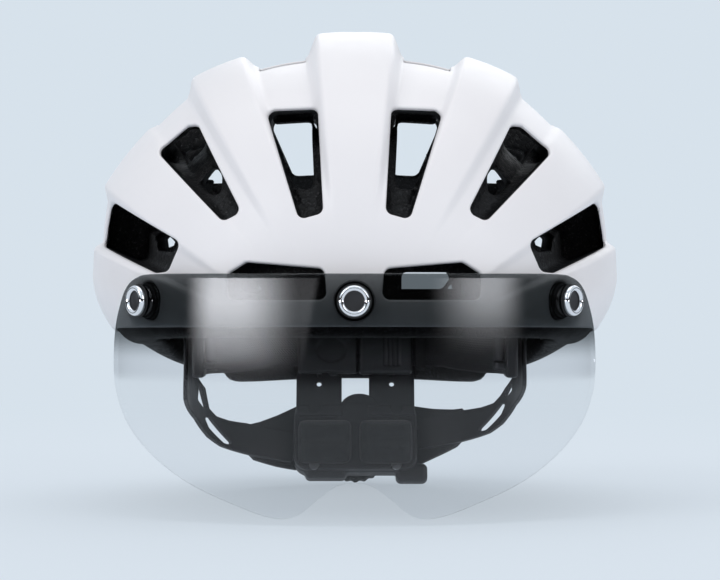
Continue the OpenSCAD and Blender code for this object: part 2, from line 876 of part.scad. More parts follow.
// Outline of a belt with its arm, each point giving the run along the belt at the drawn radius and a height:
// above the belt's middle for the band, above the belts' plane for the arm
drawn_belt_r = 72;
band_low = [[-8, 16], [-8, 9], [0, 0.9], [21.2, -1.1], [34.4, -5.4], [44.5, -7]];
band_high = [[60, 7], [49, 5.8], [40, 5.5], [34, 7.4]];
arm_high = [[30, 12.4], [22, 14.7], [14, 18.2], [6, 25.6], [-4, 28]];
function on_belt(p) = belt_r * sin(p[0] / drawn_belt_r * 180 / PI);
function belt_outline(lift) = concat(
    [for (p = band_low) [on_belt(p), lift + p[1] * belt_h / 14]],
    [[belt_r + 1, lift - belt_h / 2], [belt_r + 1, lift + belt_h / 2]],
    [for (p = band_high) [on_belt(p), lift + p[1] * belt_h / 14]],
    [for (p = arm_high) [on_belt(p), p[1]]]);
function lower_slot(lift) = [
    for (p = [
        [29.7, 2.2], [34.9, 3.5], [53, -4.8],
        [46, -1.6 - 0.72 * slot_h], [33.9, 3.25 - 0.91 * slot_h]])
        [on_belt(p), lift + p[1]]];
function upper_slot(side) = [
    for (p = side < 0
        ? [[22, 4.9], [23.4, 12.5], [25.6, 12], [31.4, 3.9], [29.3, 3]]
        : [[22.4, 9.2], [23.4, 12.7], [25.4, 12.3], [30.4, 9], [29, 7.9]])
        [on_belt(p), p[1]]];

// Everything that an outline covers, seen from the side in the belts' plane
module side_view(outline) {
    rotate([90, 0, 90])
        linear_extrude(belt_r + 10)
            polygon(outline);
}

// Right belt, with its rack above the pinion when high is 1 and below it when high is -1
module belt(side) {
    lift = side * 3;
    leg_low = ring_z + lift + 9;
    color("dimgray")
        mirror([side < 0 ? 1 : 0, 0, 0])
            difference() {
                union() {
                    cradle_frame() {
                        intersection() {
                            rotate([0, 0, -leg_half_angle])
                                rotate_extrude(angle = belt_end_angle + leg_half_angle, $fn = 180)
                                    translate([belt_r - belt_t, -20])
                                        square([belt_t, 50]);
                            side_view(belt_outline(lift));
                        }
                        rack_tail(side);
                    }
                    translate([0, pin_y, leg_low])
                        rotate([0, 0, -leg_half_angle])
                            rotate_extrude(angle = 2 * leg_half_angle, $fn = 180)
                                translate([belt_r - belt_t + leg_inset, 0])
                                    square([belt_t - 2 * leg_inset, pin_z - leg_low]);
                    translate([boss_in_x, pin_y, pin_z])
                        rotate([0, 90, 0])
                            cylinder(r = boss_r, h = belt_r - boss_in_x);
                    translate([boss_in_x, pin_y, pin_z])
                        rotate([0, 90, 0])
                            cylinder(r = eye_r, h = eye_end_x - boss_in_x);
                }
                translate([belt_r - 10, pin_y, pin_z])
                    rotate([0, 90, 0])
                        cylinder(r = pin_r + fit, h = 20);
                cradle_frame() {
                    side_view(lower_slot(lift));
                    side_view(upper_slot(side));
                }
            }
}

module rack_tail(side) {
    high = pinion_r;
    join_x = belt_r * cos(belt_end_angle) + 1.4;
    rack_end_x = 14 + travel * 2;
    mirror([0, 0, side < 0 ? 1 : 0])
        translate([0, tail_y + tail_t, 0])
            rotate([90, 0, 0])
                linear_extrude(tail_t) {
                    polygon(rack_outline(high));
                    translate([rack_end_x - 1, high + rack_ded])
                        square([join_x - rack_end_x + 1, rack_back]);
                }
}

module rounded_plate(half_x, half_z, r, t) {
    rotate([-90, 0, 0])
        linear_extrude(t) {
            square([2 * (half_x - r), 2 * half_z], center = true);
            square([2 * half_x, 2 * (half_z - r)], center = true);
            for (x = [-1, 1])
                for (z = [-1, 1])
                    translate([x * (half_x - r), z * (half_z - r)])
                        circle(r = r);
        }
}

housing_round = 6;
screw_r = 1.1;
screw_x = 18;
screw_z = 12.9;
pilot_r = 1.5;
pilot_depth = 2.2;

module at_housing_screws() {
    cradle_frame()
        for (x = [-1, 1])
            for (z = [-1, 1])
                translate([x * screw_x, 0, z * screw_z])
                    rotate([-90, 0, 0])
                        children();
}

module dial_housing() {
    color("dimgray")
        difference() {
            union() {
                cradle_frame() {
                    translate([0, base_y, 0])
                        rounded_plate(housing_x, housing_z, housing_round, base_t);
                    for (side = [-1, 1])
                        translate([side * (hanger_gap + hanger_w) / 2 - hanger_w / 2, base_y - 1.4, 9.6])
                            cube([hanger_w, 2, housing_z - 10.6]);
                }
                hanger_slots(hanger_low, hanger_top, 0);
            }
            cradle_frame()
                translate([0, base_y + base_t - pilot_depth, 0])
                    rotate([-90, 0, 0])
                        cylinder(r = pilot_r + fit, h = base_t);
            at_housing_screws() {
                translate([0, 0, base_y - 5])
                    cylinder(r = screw_r + 0.1, h = 12);
                translate([0, 0, base_y - 8])
                    cylinder(r = 2 * screw_r + 0.2, h = 9.2);
            }
        }
}

module housing_cover() {
    color("dimgray")
        difference() {
            cradle_frame()
                difference() {
                    translate([0, cover_y, 0])
                        rounded_plate(housing_x, housing_z, housing_round, cover_end_y - cover_y);
                    translate([-housing_x - 1, cover_y - 1, -channel_z])
                        cube([2 * housing_x + 2, cover_inner_y - cover_y + 1, 2 * channel_z]);
                    rotate([-90, 0, 0])
                        cylinder(r = shaft_r + fit, h = cover_end_y + 5);
                }
            at_housing_screws()
                translate([0, 0, cover_y - 1])
                    cylinder(r = screw_r + 0.02, h = 7);
        }
}

module housing_screws() {
    color("silver")
        at_housing_screws() {
            translate([0, 0, base_y + 1.2 - screw_r])
                cylinder(r = 2 * screw_r, h = screw_r);
            translate([0, 0, base_y + 1.2 - screw_r])
                cylinder(r = screw_r, h = 8);
        }
}

// Gear outline with involute flanks
function inv(a) = tan(a) - a * PI / 180;
function pinion_outline() = let (
    base_r = pinion_r * cos(pressure),
    tip_r = pinion_r + pinion_add,
    root_r = pinion_r - rack_add - 0.4,
    half = (PI * tooth_module / 2 - backlash) / (2 * pinion_r) * 180 / PI,
    radii = [for (k = [0:4]) base_r + (tip_r - base_r) * k / 4],
    spread = [for (r = radii) half + (inv(pressure) - inv(acos(min(1, base_r / r)))) * 180 / PI])
    [for (i = [0:pinion_teeth - 1])
        let (mid = i * 360 / pinion_teeth)
        each concat(
            [root_r * [cos(mid - spread[0]), sin(mid - spread[0])]],
            [for (k = [0:4]) radii[k] * [cos(mid - spread[k]), sin(mid - spread[k])]],
            [for (k = [4:-1:0]) radii[k] * [cos(mid + spread[k]), sin(mid + spread[k])]],
            [root_r * [cos(mid + spread[0]), sin(mid + spread[0])]])];

module dial_pinion() {
    shaft_end = knob_y + knob_h - 2;
    color("silver")
        cradle_frame()
            rotate([-90, 0, 0])
                difference() {
                    union() {
                        translate([0, 0, gear_y])
                            linear_extrude(gear_t)
                                polygon(pinion_outline());
                        translate([0, 0, base_y + base_t - pilot_depth + 0.2])
                            cylinder(r = pilot_r, h = gear_y);
                        translate([0, 0, gear_y + gear_t])
                            cylinder(r = shaft_r, h = shaft_end - gear_y - gear_t);
                    }
                    translate([0, 0, shaft_end])
                        cylinder(r = 50, h = 100);
                    translate([0, 0, shaft_end - 7])
                        cylinder(r = screw_r + 0.02, h = 20);
                }
}

module dial_washer() {
    color("silver")
        cradle_frame()
            translate([0, cover_end_y + washer_gap, 0])
                rotate([-90, 0, 0])
                    difference() {
                        cylinder(r = 7, h = washer_t);
                        translate([0, 0, -1])
                            cylinder(r = shaft_r + 0.1, h = 5);
                    }
}

module dial_knob() {
    color("dimgray")
        cradle_frame()
            translate([0, knob_y, 0])
                rotate([-90, 0, 0])
                    difference() {
                        rotate_extrude($fn = 96)
                            polygon([
                                [0, 0], [knob_r, 0], [knob_r, knob_h - 1.6], [knob_r - 1.6, knob_h],
                                [knob_r - 4, knob_h], [knob_r - 5, knob_h - 0.8], [0, knob_h - 0.8]]);
                        translate([0, 0, -1])
                            cylinder(r = shaft_r + 0.02, h = knob_h - 1);
                        translate([0, 0, -1])
                            cylinder(r = screw_r + 0.1, h = 20);
                        translate([0, 0, knob_h - 2])
                            cylinder(r = 2 * screw_r + 0.2, h = 5);
                    }
}

grip_lobes = 24;
grip_t = 1.5;
module dial_grip() {
    steps = 4 * grip_lobes;
    color("black")
        cradle_frame()
            translate([0, knob_y + 0.8, 0])
                rotate([-90, 0, 0])
                    linear_extrude(knob_h - 3.2)
                        difference() {
                            polygon([
                                for (i = [0:steps - 1])
                                    let (
                                        a = i * 360 / steps,
                                        r = knob_r + grip_t + 0.35 * cos(a * grip_lobes))
                                    [r * cos(a), r * sin(a)]]);
                            circle(r = knob_r + fit, $fn = 96);
                        }
}

module dial_screw() {
    color("silver")
        cradle_frame()
            translate([0, knob_y, 0])
                rotate([-90, 0, 0]) {
                    translate([0, 0, knob_h - 2 + 0.05])
                        cylinder(r = 2 * screw_r, h = screw_r);
                    translate([0, 0, knob_h - 8])
                        cylinder(r = screw_r, h = 7);
                }
}

// Two cushions on the housing, towards the nape
module nape_pads() {
    half_w = housing_x / 2 - 1.9;
    middle_x = housing_x / 2 - 0.1;
    low = 2 - housing_z;
    high = housing_z - 8;
    thick = 5.6;
    n = 8;
    color("dimgray")
        cradle_frame()
            for (side = [-1, 1])
                pad_solid(
                    [for (i = [0:n]) [for (k = [0:n])
                        [side * middle_x + half_w - 2 * half_w * i / n,
                         base_y - pad_depth(i / n, k / n, thick),
                         low + (high - low) * k / n]]],
                    [for (i = [0:n]) [for (k = [0:n])
                        [side * middle_x + half_w - 2 * half_w * i / n,
                         base_y - pad_gap,
                         low + (high - low) * k / n]]]);
}

outer_shell();
eps_liner();
visor_sockets();
socket_magnets();
height_guide();
temple_pin(-1);  // left_temple_pin
temple_pin(1);  // right_temple_pin
strap_anchors();
brow_pad();
crown_pad();
side_crown_pad(-1);  // left_crown_pad
side_crown_pad(1);  // right_crown_pad
side_pad(-1);  // left_side_pad
side_pad(1);  // right_side_pad
strap(-1, front_route);  // left_front_strap
strap(1, front_route);  // right_front_strap
strap(-1, rear_route);  // left_rear_strap
strap(1, rear_route);  // right_rear_strap
strap(-1, chin_route);  // left_chin_strap
strap(1, chin_route);  // right_chin_strap
divider(-1);  // left_divider
divider(1);  // right_divider
cam_lever(-1);  // left_cam_lever
cam_lever(1);  // right_cam_lever
buckle_female();
buckle_male();
prong(1);  // upper_prong
prong(-1);  // lower_prong
strap_keeper();
dial_housing();
housing_cover();
housing_screws();
nape_pads();
belt(-1);  // left_belt
belt(1);  // right_belt
dial_knob();
dial_grip();
dial_pinion();
dial_washer();
dial_screw();
visor_lens();
stud_ring(0);  // centre_ring
stud_ring(-magnet_angle);  // left_ring
stud_ring(magnet_angle);  // right_ring
stud_gaskets();
visor_studs();
visor_magnets();
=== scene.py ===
import functools
import json
import math

import bpy
import numpy as np
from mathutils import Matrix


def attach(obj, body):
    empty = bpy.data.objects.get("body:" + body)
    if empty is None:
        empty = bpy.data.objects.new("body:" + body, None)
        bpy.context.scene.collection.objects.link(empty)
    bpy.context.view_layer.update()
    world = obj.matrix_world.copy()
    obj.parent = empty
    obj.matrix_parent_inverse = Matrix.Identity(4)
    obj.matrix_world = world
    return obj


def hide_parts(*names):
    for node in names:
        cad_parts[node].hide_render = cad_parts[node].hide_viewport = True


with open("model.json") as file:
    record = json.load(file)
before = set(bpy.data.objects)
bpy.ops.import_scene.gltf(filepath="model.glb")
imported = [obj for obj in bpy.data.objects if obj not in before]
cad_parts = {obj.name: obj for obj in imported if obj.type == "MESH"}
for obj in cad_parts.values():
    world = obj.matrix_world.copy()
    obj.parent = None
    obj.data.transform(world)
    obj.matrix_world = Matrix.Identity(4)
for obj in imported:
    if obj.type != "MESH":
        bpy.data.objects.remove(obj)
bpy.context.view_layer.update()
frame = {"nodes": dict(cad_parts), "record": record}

import openvdb
from mathutils import Vector

# Lengths below are millimetres until a mesh is made, and angles are degrees unless a name says otherwise.
MM = 0.001

scene = bpy.context.scene


def new_object(name, data):
    obj = bpy.data.objects.new(name, data)
    scene.collection.objects.link(obj)
    return obj


def new_mesh(name, verts, faces):
    mesh = bpy.data.meshes.new(name)
    mesh.from_pydata(np.asarray(verts, float).tolist(), [], [list(map(int, f)) for f in faces])
    return mesh


# Camera
camera_data = bpy.data.cameras.new("camera")
camera_data.sensor_width = 36
camera_data.lens = 145.75
camera_data.clip_end = 50
camera = new_object("camera", camera_data)
camera.location = (0.00206, -1.2, 0.026)
camera.rotation_euler = (math.radians(90), 0, 0)
scene.camera = camera
scene.view_settings.view_transform = "Standard"


# Sizes and shape functions, as in the part
HELMET_W, HELMET_L, CROWN_H = 214, 280, 131
SHELL_T, BOND_GAP = 1.6, 0.2
SIDE_R, HALF_L = HELMET_W / 2 + 2, HELMET_L / 2
DOME_POWER = 2.3
TUCK_FROM, TUCK_TO, TUCK_DEPTH = 72, 82.5, 9
RIB_SWELL = [
    (0, 1), (6.8, 1.005), (20.2, 1.013), (30.4, 1.051), (42.2, 1.038), (56, 1.07), (72, 1.01), (98, 1),
    (140, 1)]
# Channels between the ribs, as angles from the top: inner rim, floor from and to, outer rim, then the depth
# and the share of it that is left at the floor's outer side
CHANNELS = [(6.8, 8.9, 19, 20.2, 9, 0.7), (30.4, 32.6, 41, 42.2, 4.5, 0.4), (56, 58, 66, 67.5, 3, 1.2)]
RIB_SPREAD, RING_END = 0.8, 84
VENT_ROUND = 2.9
CAV_X, CAV_Y, CAV_Z, CAV_SHIFT, CAV_POWER = 80, 102, 104, 8, 2.2
SOCKET_R, SOCKET_L, SEAT = 7, 13, 0.2
LENS_R, LENS_T, LENS_AXIS = 101, 2, 47
STUD_ANGLES, MAGNET_Z = (-53, 0, 53), 22
FLANGE_FACE = LENS_R - LENS_T - 0.3
STUD_BACK = FLANGE_FACE - 1.5
SOCKET_FACE = STUD_BACK - SEAT
PIN_Y, PIN_Z = 22, 14
RING_Z, SLOPE = -18, 20
SIDES = ((-1, "left"), (1, "right"))


def both(*fields):
    """What lies in all the shapes, which are signed distances, negative inside."""
    return functools.reduce(np.maximum, fields)


def either(*fields):
    return functools.reduce(np.minimum, fields)


def cut(body, *holes):
    return both(body, *(-h for h in holes))


def smooth(v):
    c = np.clip(v, 0, 1)
    return c * c * (3 - 2 * c)


def spow(v, e):
    return np.sign(v) * np.abs(v) ** e


def sind(a):
    return np.sin(np.radians(a))


def cosd(a):
    return np.cos(np.radians(a))


TABLE_STEP = 0.05
TABLE_A = np.arange(-135, 135.001, TABLE_STEP)


def profile_tables(blur):
    """The dome's radius without channels and the channels' depth, for each angle of TABLE_A."""
    a = np.abs(TABLE_A)
    swell = np.interp(a, *zip(*RIB_SWELL))
    envelope = swell / np.sqrt((sind(a) / SIDE_R) ** 2 + (cosd(a) / CROWN_H) ** 2)
    tuck = TUCK_DEPTH * np.maximum(0, (np.minimum(a, 100) - TUCK_FROM) / (TUCK_TO - TUCK_FROM)) ** 1.6
    depth = np.zeros_like(a)
    for rim_in, floor_in, floor_out, rim_out, deep, left in CHANNELS:
        rise = np.clip((a - rim_in) / (floor_in - rim_in), 0, 1)
        fall = np.clip((rim_out - a) / (rim_out - floor_out), 0, 1)
        across = np.clip((a - floor_in) / (floor_out - floor_in), 0, 1)
        depth = np.maximum(depth, deep * (1 + (left - 1) * across) * np.minimum(rise, fall))
    half = int(round(3 * blur / TABLE_STEP))
    kernel = np.exp(-0.5 * (np.arange(-half, half + 1) * TABLE_STEP / blur) ** 2)
    kernel /= kernel.sum()

    def soften(v):
        return np.convolve(np.pad(v, half, mode="edge"), kernel, mode="valid")

    return soften(envelope - tuck), soften(depth)


BASE_TABLE, DEPTH_TABLE = profile_tables(0.42)


def taper(phi):
    return np.clip(cosd(phi), 0, 1) ** (2 / DOME_POWER)


def channel_fade(phi):
    """Share of the channels' depth left at phi: they run out towards both ends."""
    t = taper(phi)
    return np.where(phi < 0, smooth((t - 0.36) / 0.24), smooth((t - 0.3) / 0.25))


def dome_point(a, phi, inset):
    """Point of the dome: a runs round the helmet's length, phi from the middle to the ends."""
    base = np.interp(a, TABLE_A, BASE_TABLE)
    depth = np.interp(a, TABLE_A, DEPTH_TABLE)
    r = (base - depth * channel_fade(phi) - inset) * taper(phi)
    spread = a + np.clip(a / 6.8, -1, 1) * RIB_SPREAD * np.abs(phi) / RING_END
    y = (HALF_L - inset) * spow(sind(phi), 2 / DOME_POWER)
    return np.stack([r * sind(spread), y, r * cosd(spread)], -1)


def run_along(points):
    """Length of the line so far, at each of its points."""
    return np.concatenate([[0], np.cumsum(np.linalg.norm(np.diff(points, axis=0), axis=1))])


def spline(points, steps=6):
    """Catmull-Rom curve through points, as the part draws it."""
    p = np.array(points, float)
    n = len(p) - 1
    out = []
    for i in range(n):
        a, b, c, d = p[max(i - 1, 0)], p[i], p[min(i + 1, n)], p[min(i + 2, n)]
        for k in range(steps):
            s = k / steps
            bend, twist = 2 * a - 5 * b + 4 * c - d, 3 * b - a - 3 * c + d
            out.append(0.5 * (2 * b + (c - a) * s + bend * s * s + twist * s ** 3))
    out.append(p[n])
    return np.array(out)


SHELL_EDGE = spline([
    (-160, 13), (-100, 12), (-50, 11), (-15, 9), (20, 8), (48, 0), (78, -8), (110, -4), (160, -2)])
FOAM_EDGE = spline([
    (-160, 9), (-100, 8), (-50, 6.5), (-15, 4), (18, 3), (45, -7), (75, -14), (100, -13), (125, -9),
    (160, -8)])


def above(edge, y, z):
    """Distance above an edge line, which is a height for each y."""
    slope = np.gradient(edge[:, 1], edge[:, 0])
    lean = 1 / np.sqrt(1 + np.interp(y, edge[:, 0], slope) ** 2)
    return (z - np.interp(y, edge[:, 0], edge[:, 1])) * lean


def polygon_distance(points, x, y):
    """Signed distance to a polygon, negative inside."""
    p = np.array(points, float)
    best = np.full(np.shape(x), 1e9)
    inside = np.zeros(np.shape(x), bool)
    for (x1, y1), (x2, y2) in zip(p, np.roll(p, -1, 0)):
        ex, ey = x2 - x1, y2 - y1
        t = np.clip(((x - x1) * ex + (y - y1) * ey) / (ex * ex + ey * ey + 1e-12), 0, 1)
        best = np.minimum(best, (x - x1 - t * ex) ** 2 + (y - y1 - t * ey) ** 2)
        if y1 != y2:
            inside ^= ((y1 > y) != (y2 > y)) & (x < ex * (y - y1) / ey + x1)
    return np.where(inside, -1, 1) * np.sqrt(best)


def inset_polygon(points, r):
    """A convex polygon with each side moved in by r."""
    p = np.array(points, float)
    if np.sum(p[:, 0] * np.roll(p[:, 1], -1) - np.roll(p[:, 0], -1) * p[:, 1]) < 0:
        p = p[::-1]
    q = np.roll(p, -1, 0)
    d = (q - p) / np.linalg.norm(q - p, axis=1)[:, None]
    a = p + r * np.stack([-d[:, 1], d[:, 0]], 1)
    out = []
    for i in range(len(p)):
        j = i - 1
        m = np.array([d[j], -d[i]]).T
        s = np.linalg.solve(m, a[i] - a[j])
        out.append(a[j] + s[0] * d[j])
    return np.array(out)


def rounded_polygon(points, x, y, r=VENT_ROUND):
    return polygon_distance(inset_polygon(points, r), x, y) - r


def rounded_box(u, v, half_u, half_v, r):
    qu, qv = np.abs(u) - half_u + r, np.abs(v) - half_v + r
    return np.hypot(np.maximum(qu, 0), np.maximum(qv, 0)) + np.minimum(np.maximum(qu, qv), 0) - r


# Outlines of the left side's vents, seen from the front or back, and the y up to or from which each cuts
FRONT_VENTS = [
    ([(-34, 95), (-14, 95.5), (-11.5, 54.5), (-20.5, 52)], -40),
    ([(-77, 80), (-65, 90), (-60.5, 90), (-42, 55), (-49, 51.5)], -10),
    ([(-97, 62), (-65, 44), (-70, 33), (-75, 32.5), (-101, 44)], -12),
    ([(-47, 22.5), (-47, 32), (-40, 36.5), (-11, 34), (-10, 22.5)], -85)]
REAR_VENTS = [
    ([(-38, 101), (-17, 101), (-15.5, 76), (-27, 75.5)], 0),
    ([(-72, 84), (-55, 86), (-50, 72.5), (-66, 72)], 0),
    ([(-90, 55), (-75, 56), (-71.5, 48), (-86, 42)], 20),
    ([(-51, 36), (-16, 39), (-13, 21), (-48, 20)], 80)]
# Vents through the roof: angle to the side, middle, length and width
ROLL_VENTS = [(14, -24, 50, 19), (14, 38, 48, 19), (36.8, -14, 46, 16), (36.8, 42, 38, 16), (62, 34, 44, 14)]
# FUNNEL deep in the foam each front vent narrows to a window, cut back to y = WINDOW_TO
FUNNEL = 17
WINDOW_TO = (-40, -10, 26, -85)
WINDOWS = [
    [(-31.8, 91), (-16.8, 91), (-15.4, 67.8), (-16.4, 64), (-22.2, 64), (-24, 68)],
    [(-59.6, 67.4), (-54.4, 74.5), (-50.8, 70), (-51, 63.4), (-53.6, 62), (-56, 63.4)],
    [(-78, 49.5), (-71, 46.2), (-68.6, 43.6), (-69.6, 40.6), (-77, 41.5)],
    [(-43.5, 25.6), (-39, 31), (-31.5, 23.6)]]
RIGHT_BROW_WINDOW = [(17.5, 24.5), (17.5, 32.6), (37.5, 32.6), (33, 26.5)]


def vent_distance(x, y, z, depth=None):
    """Signed distance to the nearest vent. With depth, which is how deep in the foam each point lies, the
    front vents narrow to their windows."""
    left = -np.abs(x)
    vents = []
    for (points, y_to), window, window_to in zip(FRONT_VENTS, WINDOWS, WINDOW_TO):
        mouth = both(rounded_polygon(points, left, z), y - y_to)
        if depth is not None:
            through = both(rounded_polygon(window, left, z, 1.6), y - window_to)
            mouth = either(smax(mouth, depth - FUNNEL, 5.0), through)
        vents.append(mouth)
    if depth is not None:
        vents.append(both(rounded_polygon(RIGHT_BROW_WINDOW, x, z, 1.2), y + 85))
    for points, y_from in REAR_VENTS:
        vents.append(both(rounded_polygon(points, left, z), y_from - y))
    for angle, y_mid, length, width in ROLL_VENTS:
        u = -left * cosd(angle) - z * sind(angle)
        w = -left * sind(angle) + z * cosd(angle)
        vents.append(both(rounded_box(u, y - y_mid, width / 2, length / 2, VENT_ROUND), 60 - w))
    return either(*vents)


def socket_distance(x, y, z, r):
    """Signed distance to the three round pockets of the visor's sockets."""
    pockets = []
    for angle in STUD_ANGLES:
        dx, dy = sind(angle), -cosd(angle)
        along = x * dx + (y + LENS_AXIS) * dy
        across = np.hypot(x * -dy + (y + LENS_AXIS) * dx, z - MAGNET_Z)
        pockets.append(both(across - r, SOCKET_FACE - SOCKET_L - SEAT - along))
    return either(*pockets)


# Mesh tools
def split_mesh(par, tri, field, level):
    """Cuts the triangles where field crosses level, so that level becomes a line of edges."""
    f = field(par)
    side = f > level
    crossed = side[tri].any(1) & ~side[tri].all(1)
    if not crossed.any():
        return par, tri
    t = tri[crossed]
    s = side[t]
    lone = np.where(s.sum(1) == 1, s.argmax(1), (~s).argmax(1))
    rows = np.arange(len(t))
    v0, v1, v2 = t[rows, lone], t[rows, (lone + 1) % 3], t[rows, (lone + 2) % 3]
    pairs = np.sort(np.concatenate([np.stack([v0, v1], 1), np.stack([v0, v2], 1)]), axis=1)
    unique, back = np.unique(pairs, axis=0, return_inverse=True)
    back = back.reshape(-1)
    a, b = unique[:, 0], unique[:, 1]
    lo, hi = par[a].copy(), par[b].copy()
    flo, fhi = f[a] - level, f[b] - level

    def crossing(low, high):
        gap = np.where(np.abs(flo - fhi) < 1e-12, 1e-12, flo - fhi)
        return lo + (hi - lo) * np.clip(flo / gap, low, high)[:, None]

    for _ in range(4):
        mid = crossing(0.02, 0.98)
        fm = field(mid) - level
        same = (fm > 0) == (flo > 0)
        lo[same], flo[same] = mid[same], fm[same]
        hi[~same], fhi[~same] = mid[~same], fm[~same]
    new = crossing(0, 1)
    base = len(par)
    p, q = base + back[:len(t)], base + back[len(t):]
    extra = np.concatenate([np.stack([v0, p, q], 1), np.stack([p, v1, v2], 1), np.stack([p, v2, q], 1)])
    return np.concatenate([par, new]), np.concatenate([tri[~crossed], extra])


def trimmed_grid(us, vs, field, levels):
    """Triangles over a grid of parameters where field is above 0, with edge lines at each level of field."""
    u, v = np.meshgrid(us, vs, indexing="ij")
    par = np.stack([u.ravel(), v.ravel()], 1)
    index = np.arange(len(par)).reshape(u.shape)
    a, b, c, d = (i.ravel() for i in (index[:-1, :-1], index[1:, :-1], index[1:, 1:], index[:-1, 1:]))
    tri = np.concatenate([np.stack([a, b, c], 1), np.stack([a, c, d], 1)])
    for level in levels:
        par, tri = split_mesh(par, tri, field, level)
    centre = par[tri].mean(1)
    f = field(par)
    keep = (f[tri].max(1) > 1e-4) & (f[tri].min(1) > -2e-3) & (field(centre) > 0)
    tri = tri[keep]
    used, back = np.unique(tri, return_inverse=True)
    return par[used], back.reshape(-1, 3), f[used]


def rounding(f, r):
    """Depth of a rounded edge of radius r at distance f from the edge."""
    c = np.clip(f / r, 0, 1)
    return r * (1 - np.sqrt(1 - (1 - c) ** 2))


def edge_levels(r):
    return [0] + [r * (1 - sind(t)) for t in (65, 40, 18)] + [r]


def oriented(verts, faces):
    """Turns the faces to look outwards."""
    v, f = np.asarray(verts, float), np.asarray(faces)
    p = v[f[:, :3]]
    if np.einsum("ij,ij->i", p[:, 0], np.cross(p[:, 1], p[:, 2])).sum() < 0:
        f = f[:, ::-1]
    return v, f


def sheet_solid(us, vs, surface, field, thickness, lip_out, lip_in):
    """Closed solid of one thickness over a trimmed grid. surface(u, v, depth) gives points, and depth runs
    inwards."""
    levels = sorted(set(edge_levels(lip_out) + edge_levels(lip_in)))
    par, tri, f = trimmed_grid(us, vs, field, levels)
    outer = surface(par[:, 0], par[:, 1], rounding(f, lip_out))
    inner = surface(par[:, 0], par[:, 1], thickness - rounding(f, lip_in))
    n = len(par)
    edges = np.concatenate([tri[:, [0, 1]], tri[:, [1, 2]], tri[:, [2, 0]]])
    key = edges[:, 0].astype(np.int64) * n + edges[:, 1]
    back = edges[:, 1].astype(np.int64) * n + edges[:, 0]
    rim = edges[~np.isin(key, back)]
    a, b = rim.T
    walls = np.concatenate([np.stack([b, a, a + n], 1), np.stack([b, a + n, b + n], 1)])
    return oriented(np.concatenate([outer, inner]), np.concatenate([tri, tri[:, ::-1] + n, walls]))


def on_side(side, verts, faces):
    """A piece of the right side, or its mirror image for the left one."""
    if side > 0:
        return verts, faces
    return np.asarray(verts, float) * [-1, 1, 1], [tuple(reversed(f)) for f in faces]


def joined(pieces):
    verts, faces, at = [], [], 0
    for v, f in pieces:
        verts.append(np.asarray(v, float))
        faces += [tuple(i + at for i in face) for face in f]
        at += len(v)
    return np.concatenate(verts), faces


def flipped(verts, faces):
    """Turns the faces to look outwards, for lists of mixed faces."""
    v = np.asarray(verts, float)
    total = sum(np.dot(v[f[0]], np.cross(v[f[i]], v[f[i + 1]])) for f in faces for i in range(1, len(f) - 1))
    return v, ([tuple(reversed(f)) for f in faces] if total < 0 else faces)


def turned(points, angle):
    """Turned about Z."""
    x, y, z = np.asarray(points, float).T
    c, s = cosd(angle), sind(angle)
    return np.stack([x * c - y * s, x * s + y * c, z], 1)


def add_mesh(name, verts, faces, body, slot, node, sharp=42, uv=None, material=None):
    """Makes the object that stands for a node, from millimetres."""
    mesh = new_mesh(name, np.asarray(verts, float) * MM, faces)
    mesh.validate()
    mesh.update()
    mesh.shade_smooth()
    if sharp:
        mesh.set_sharp_from_angle(angle=math.radians(sharp))
    if uv is not None:
        layer = mesh.uv_layers.new(name="along")
        loops = [loop.vertex_index for loop in mesh.loops]
        layer.data.foreach_set("uv", np.asarray(uv, np.float32)[loops].ravel())
    obj = new_object(name, mesh)
    mesh.materials.append(material or BY_SLOT[slot])
    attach(obj, body)
    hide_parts(node)
    return obj


def voxel_mesh(low, size, step, distance):
    """Quads of the surface where distance is 0. distance takes x, y and z grids."""
    axes = [np.arange(lo, lo + n + step, step, dtype=np.float32) for lo, n in zip(low, size)]
    x, y, z = np.meshgrid(*axes, indexing="ij")
    d = np.clip(distance(x, y, z), -3 * step, 3 * step).astype(np.float32)
    grid = openvdb.FloatGrid(background=3 * step)
    grid.copyFromArray(d)
    points, quads = grid.convertToQuads(0.0)
    return oriented(points * step + np.array(low, np.float32), quads)


def smax(a, b, k):
    """Maximum with a rounded join of size k."""
    h = np.maximum(k - np.abs(a - b), 0) / k
    return np.maximum(a, b) + h * h * k * 0.25


def unit_slope(f, step):
    """Makes a field rise about 1 mm per mm."""
    g = np.gradient(f, step)
    return f / np.maximum(np.sqrt(g[0] ** 2 + g[1] ** 2 + g[2] ** 2), 1e-3)


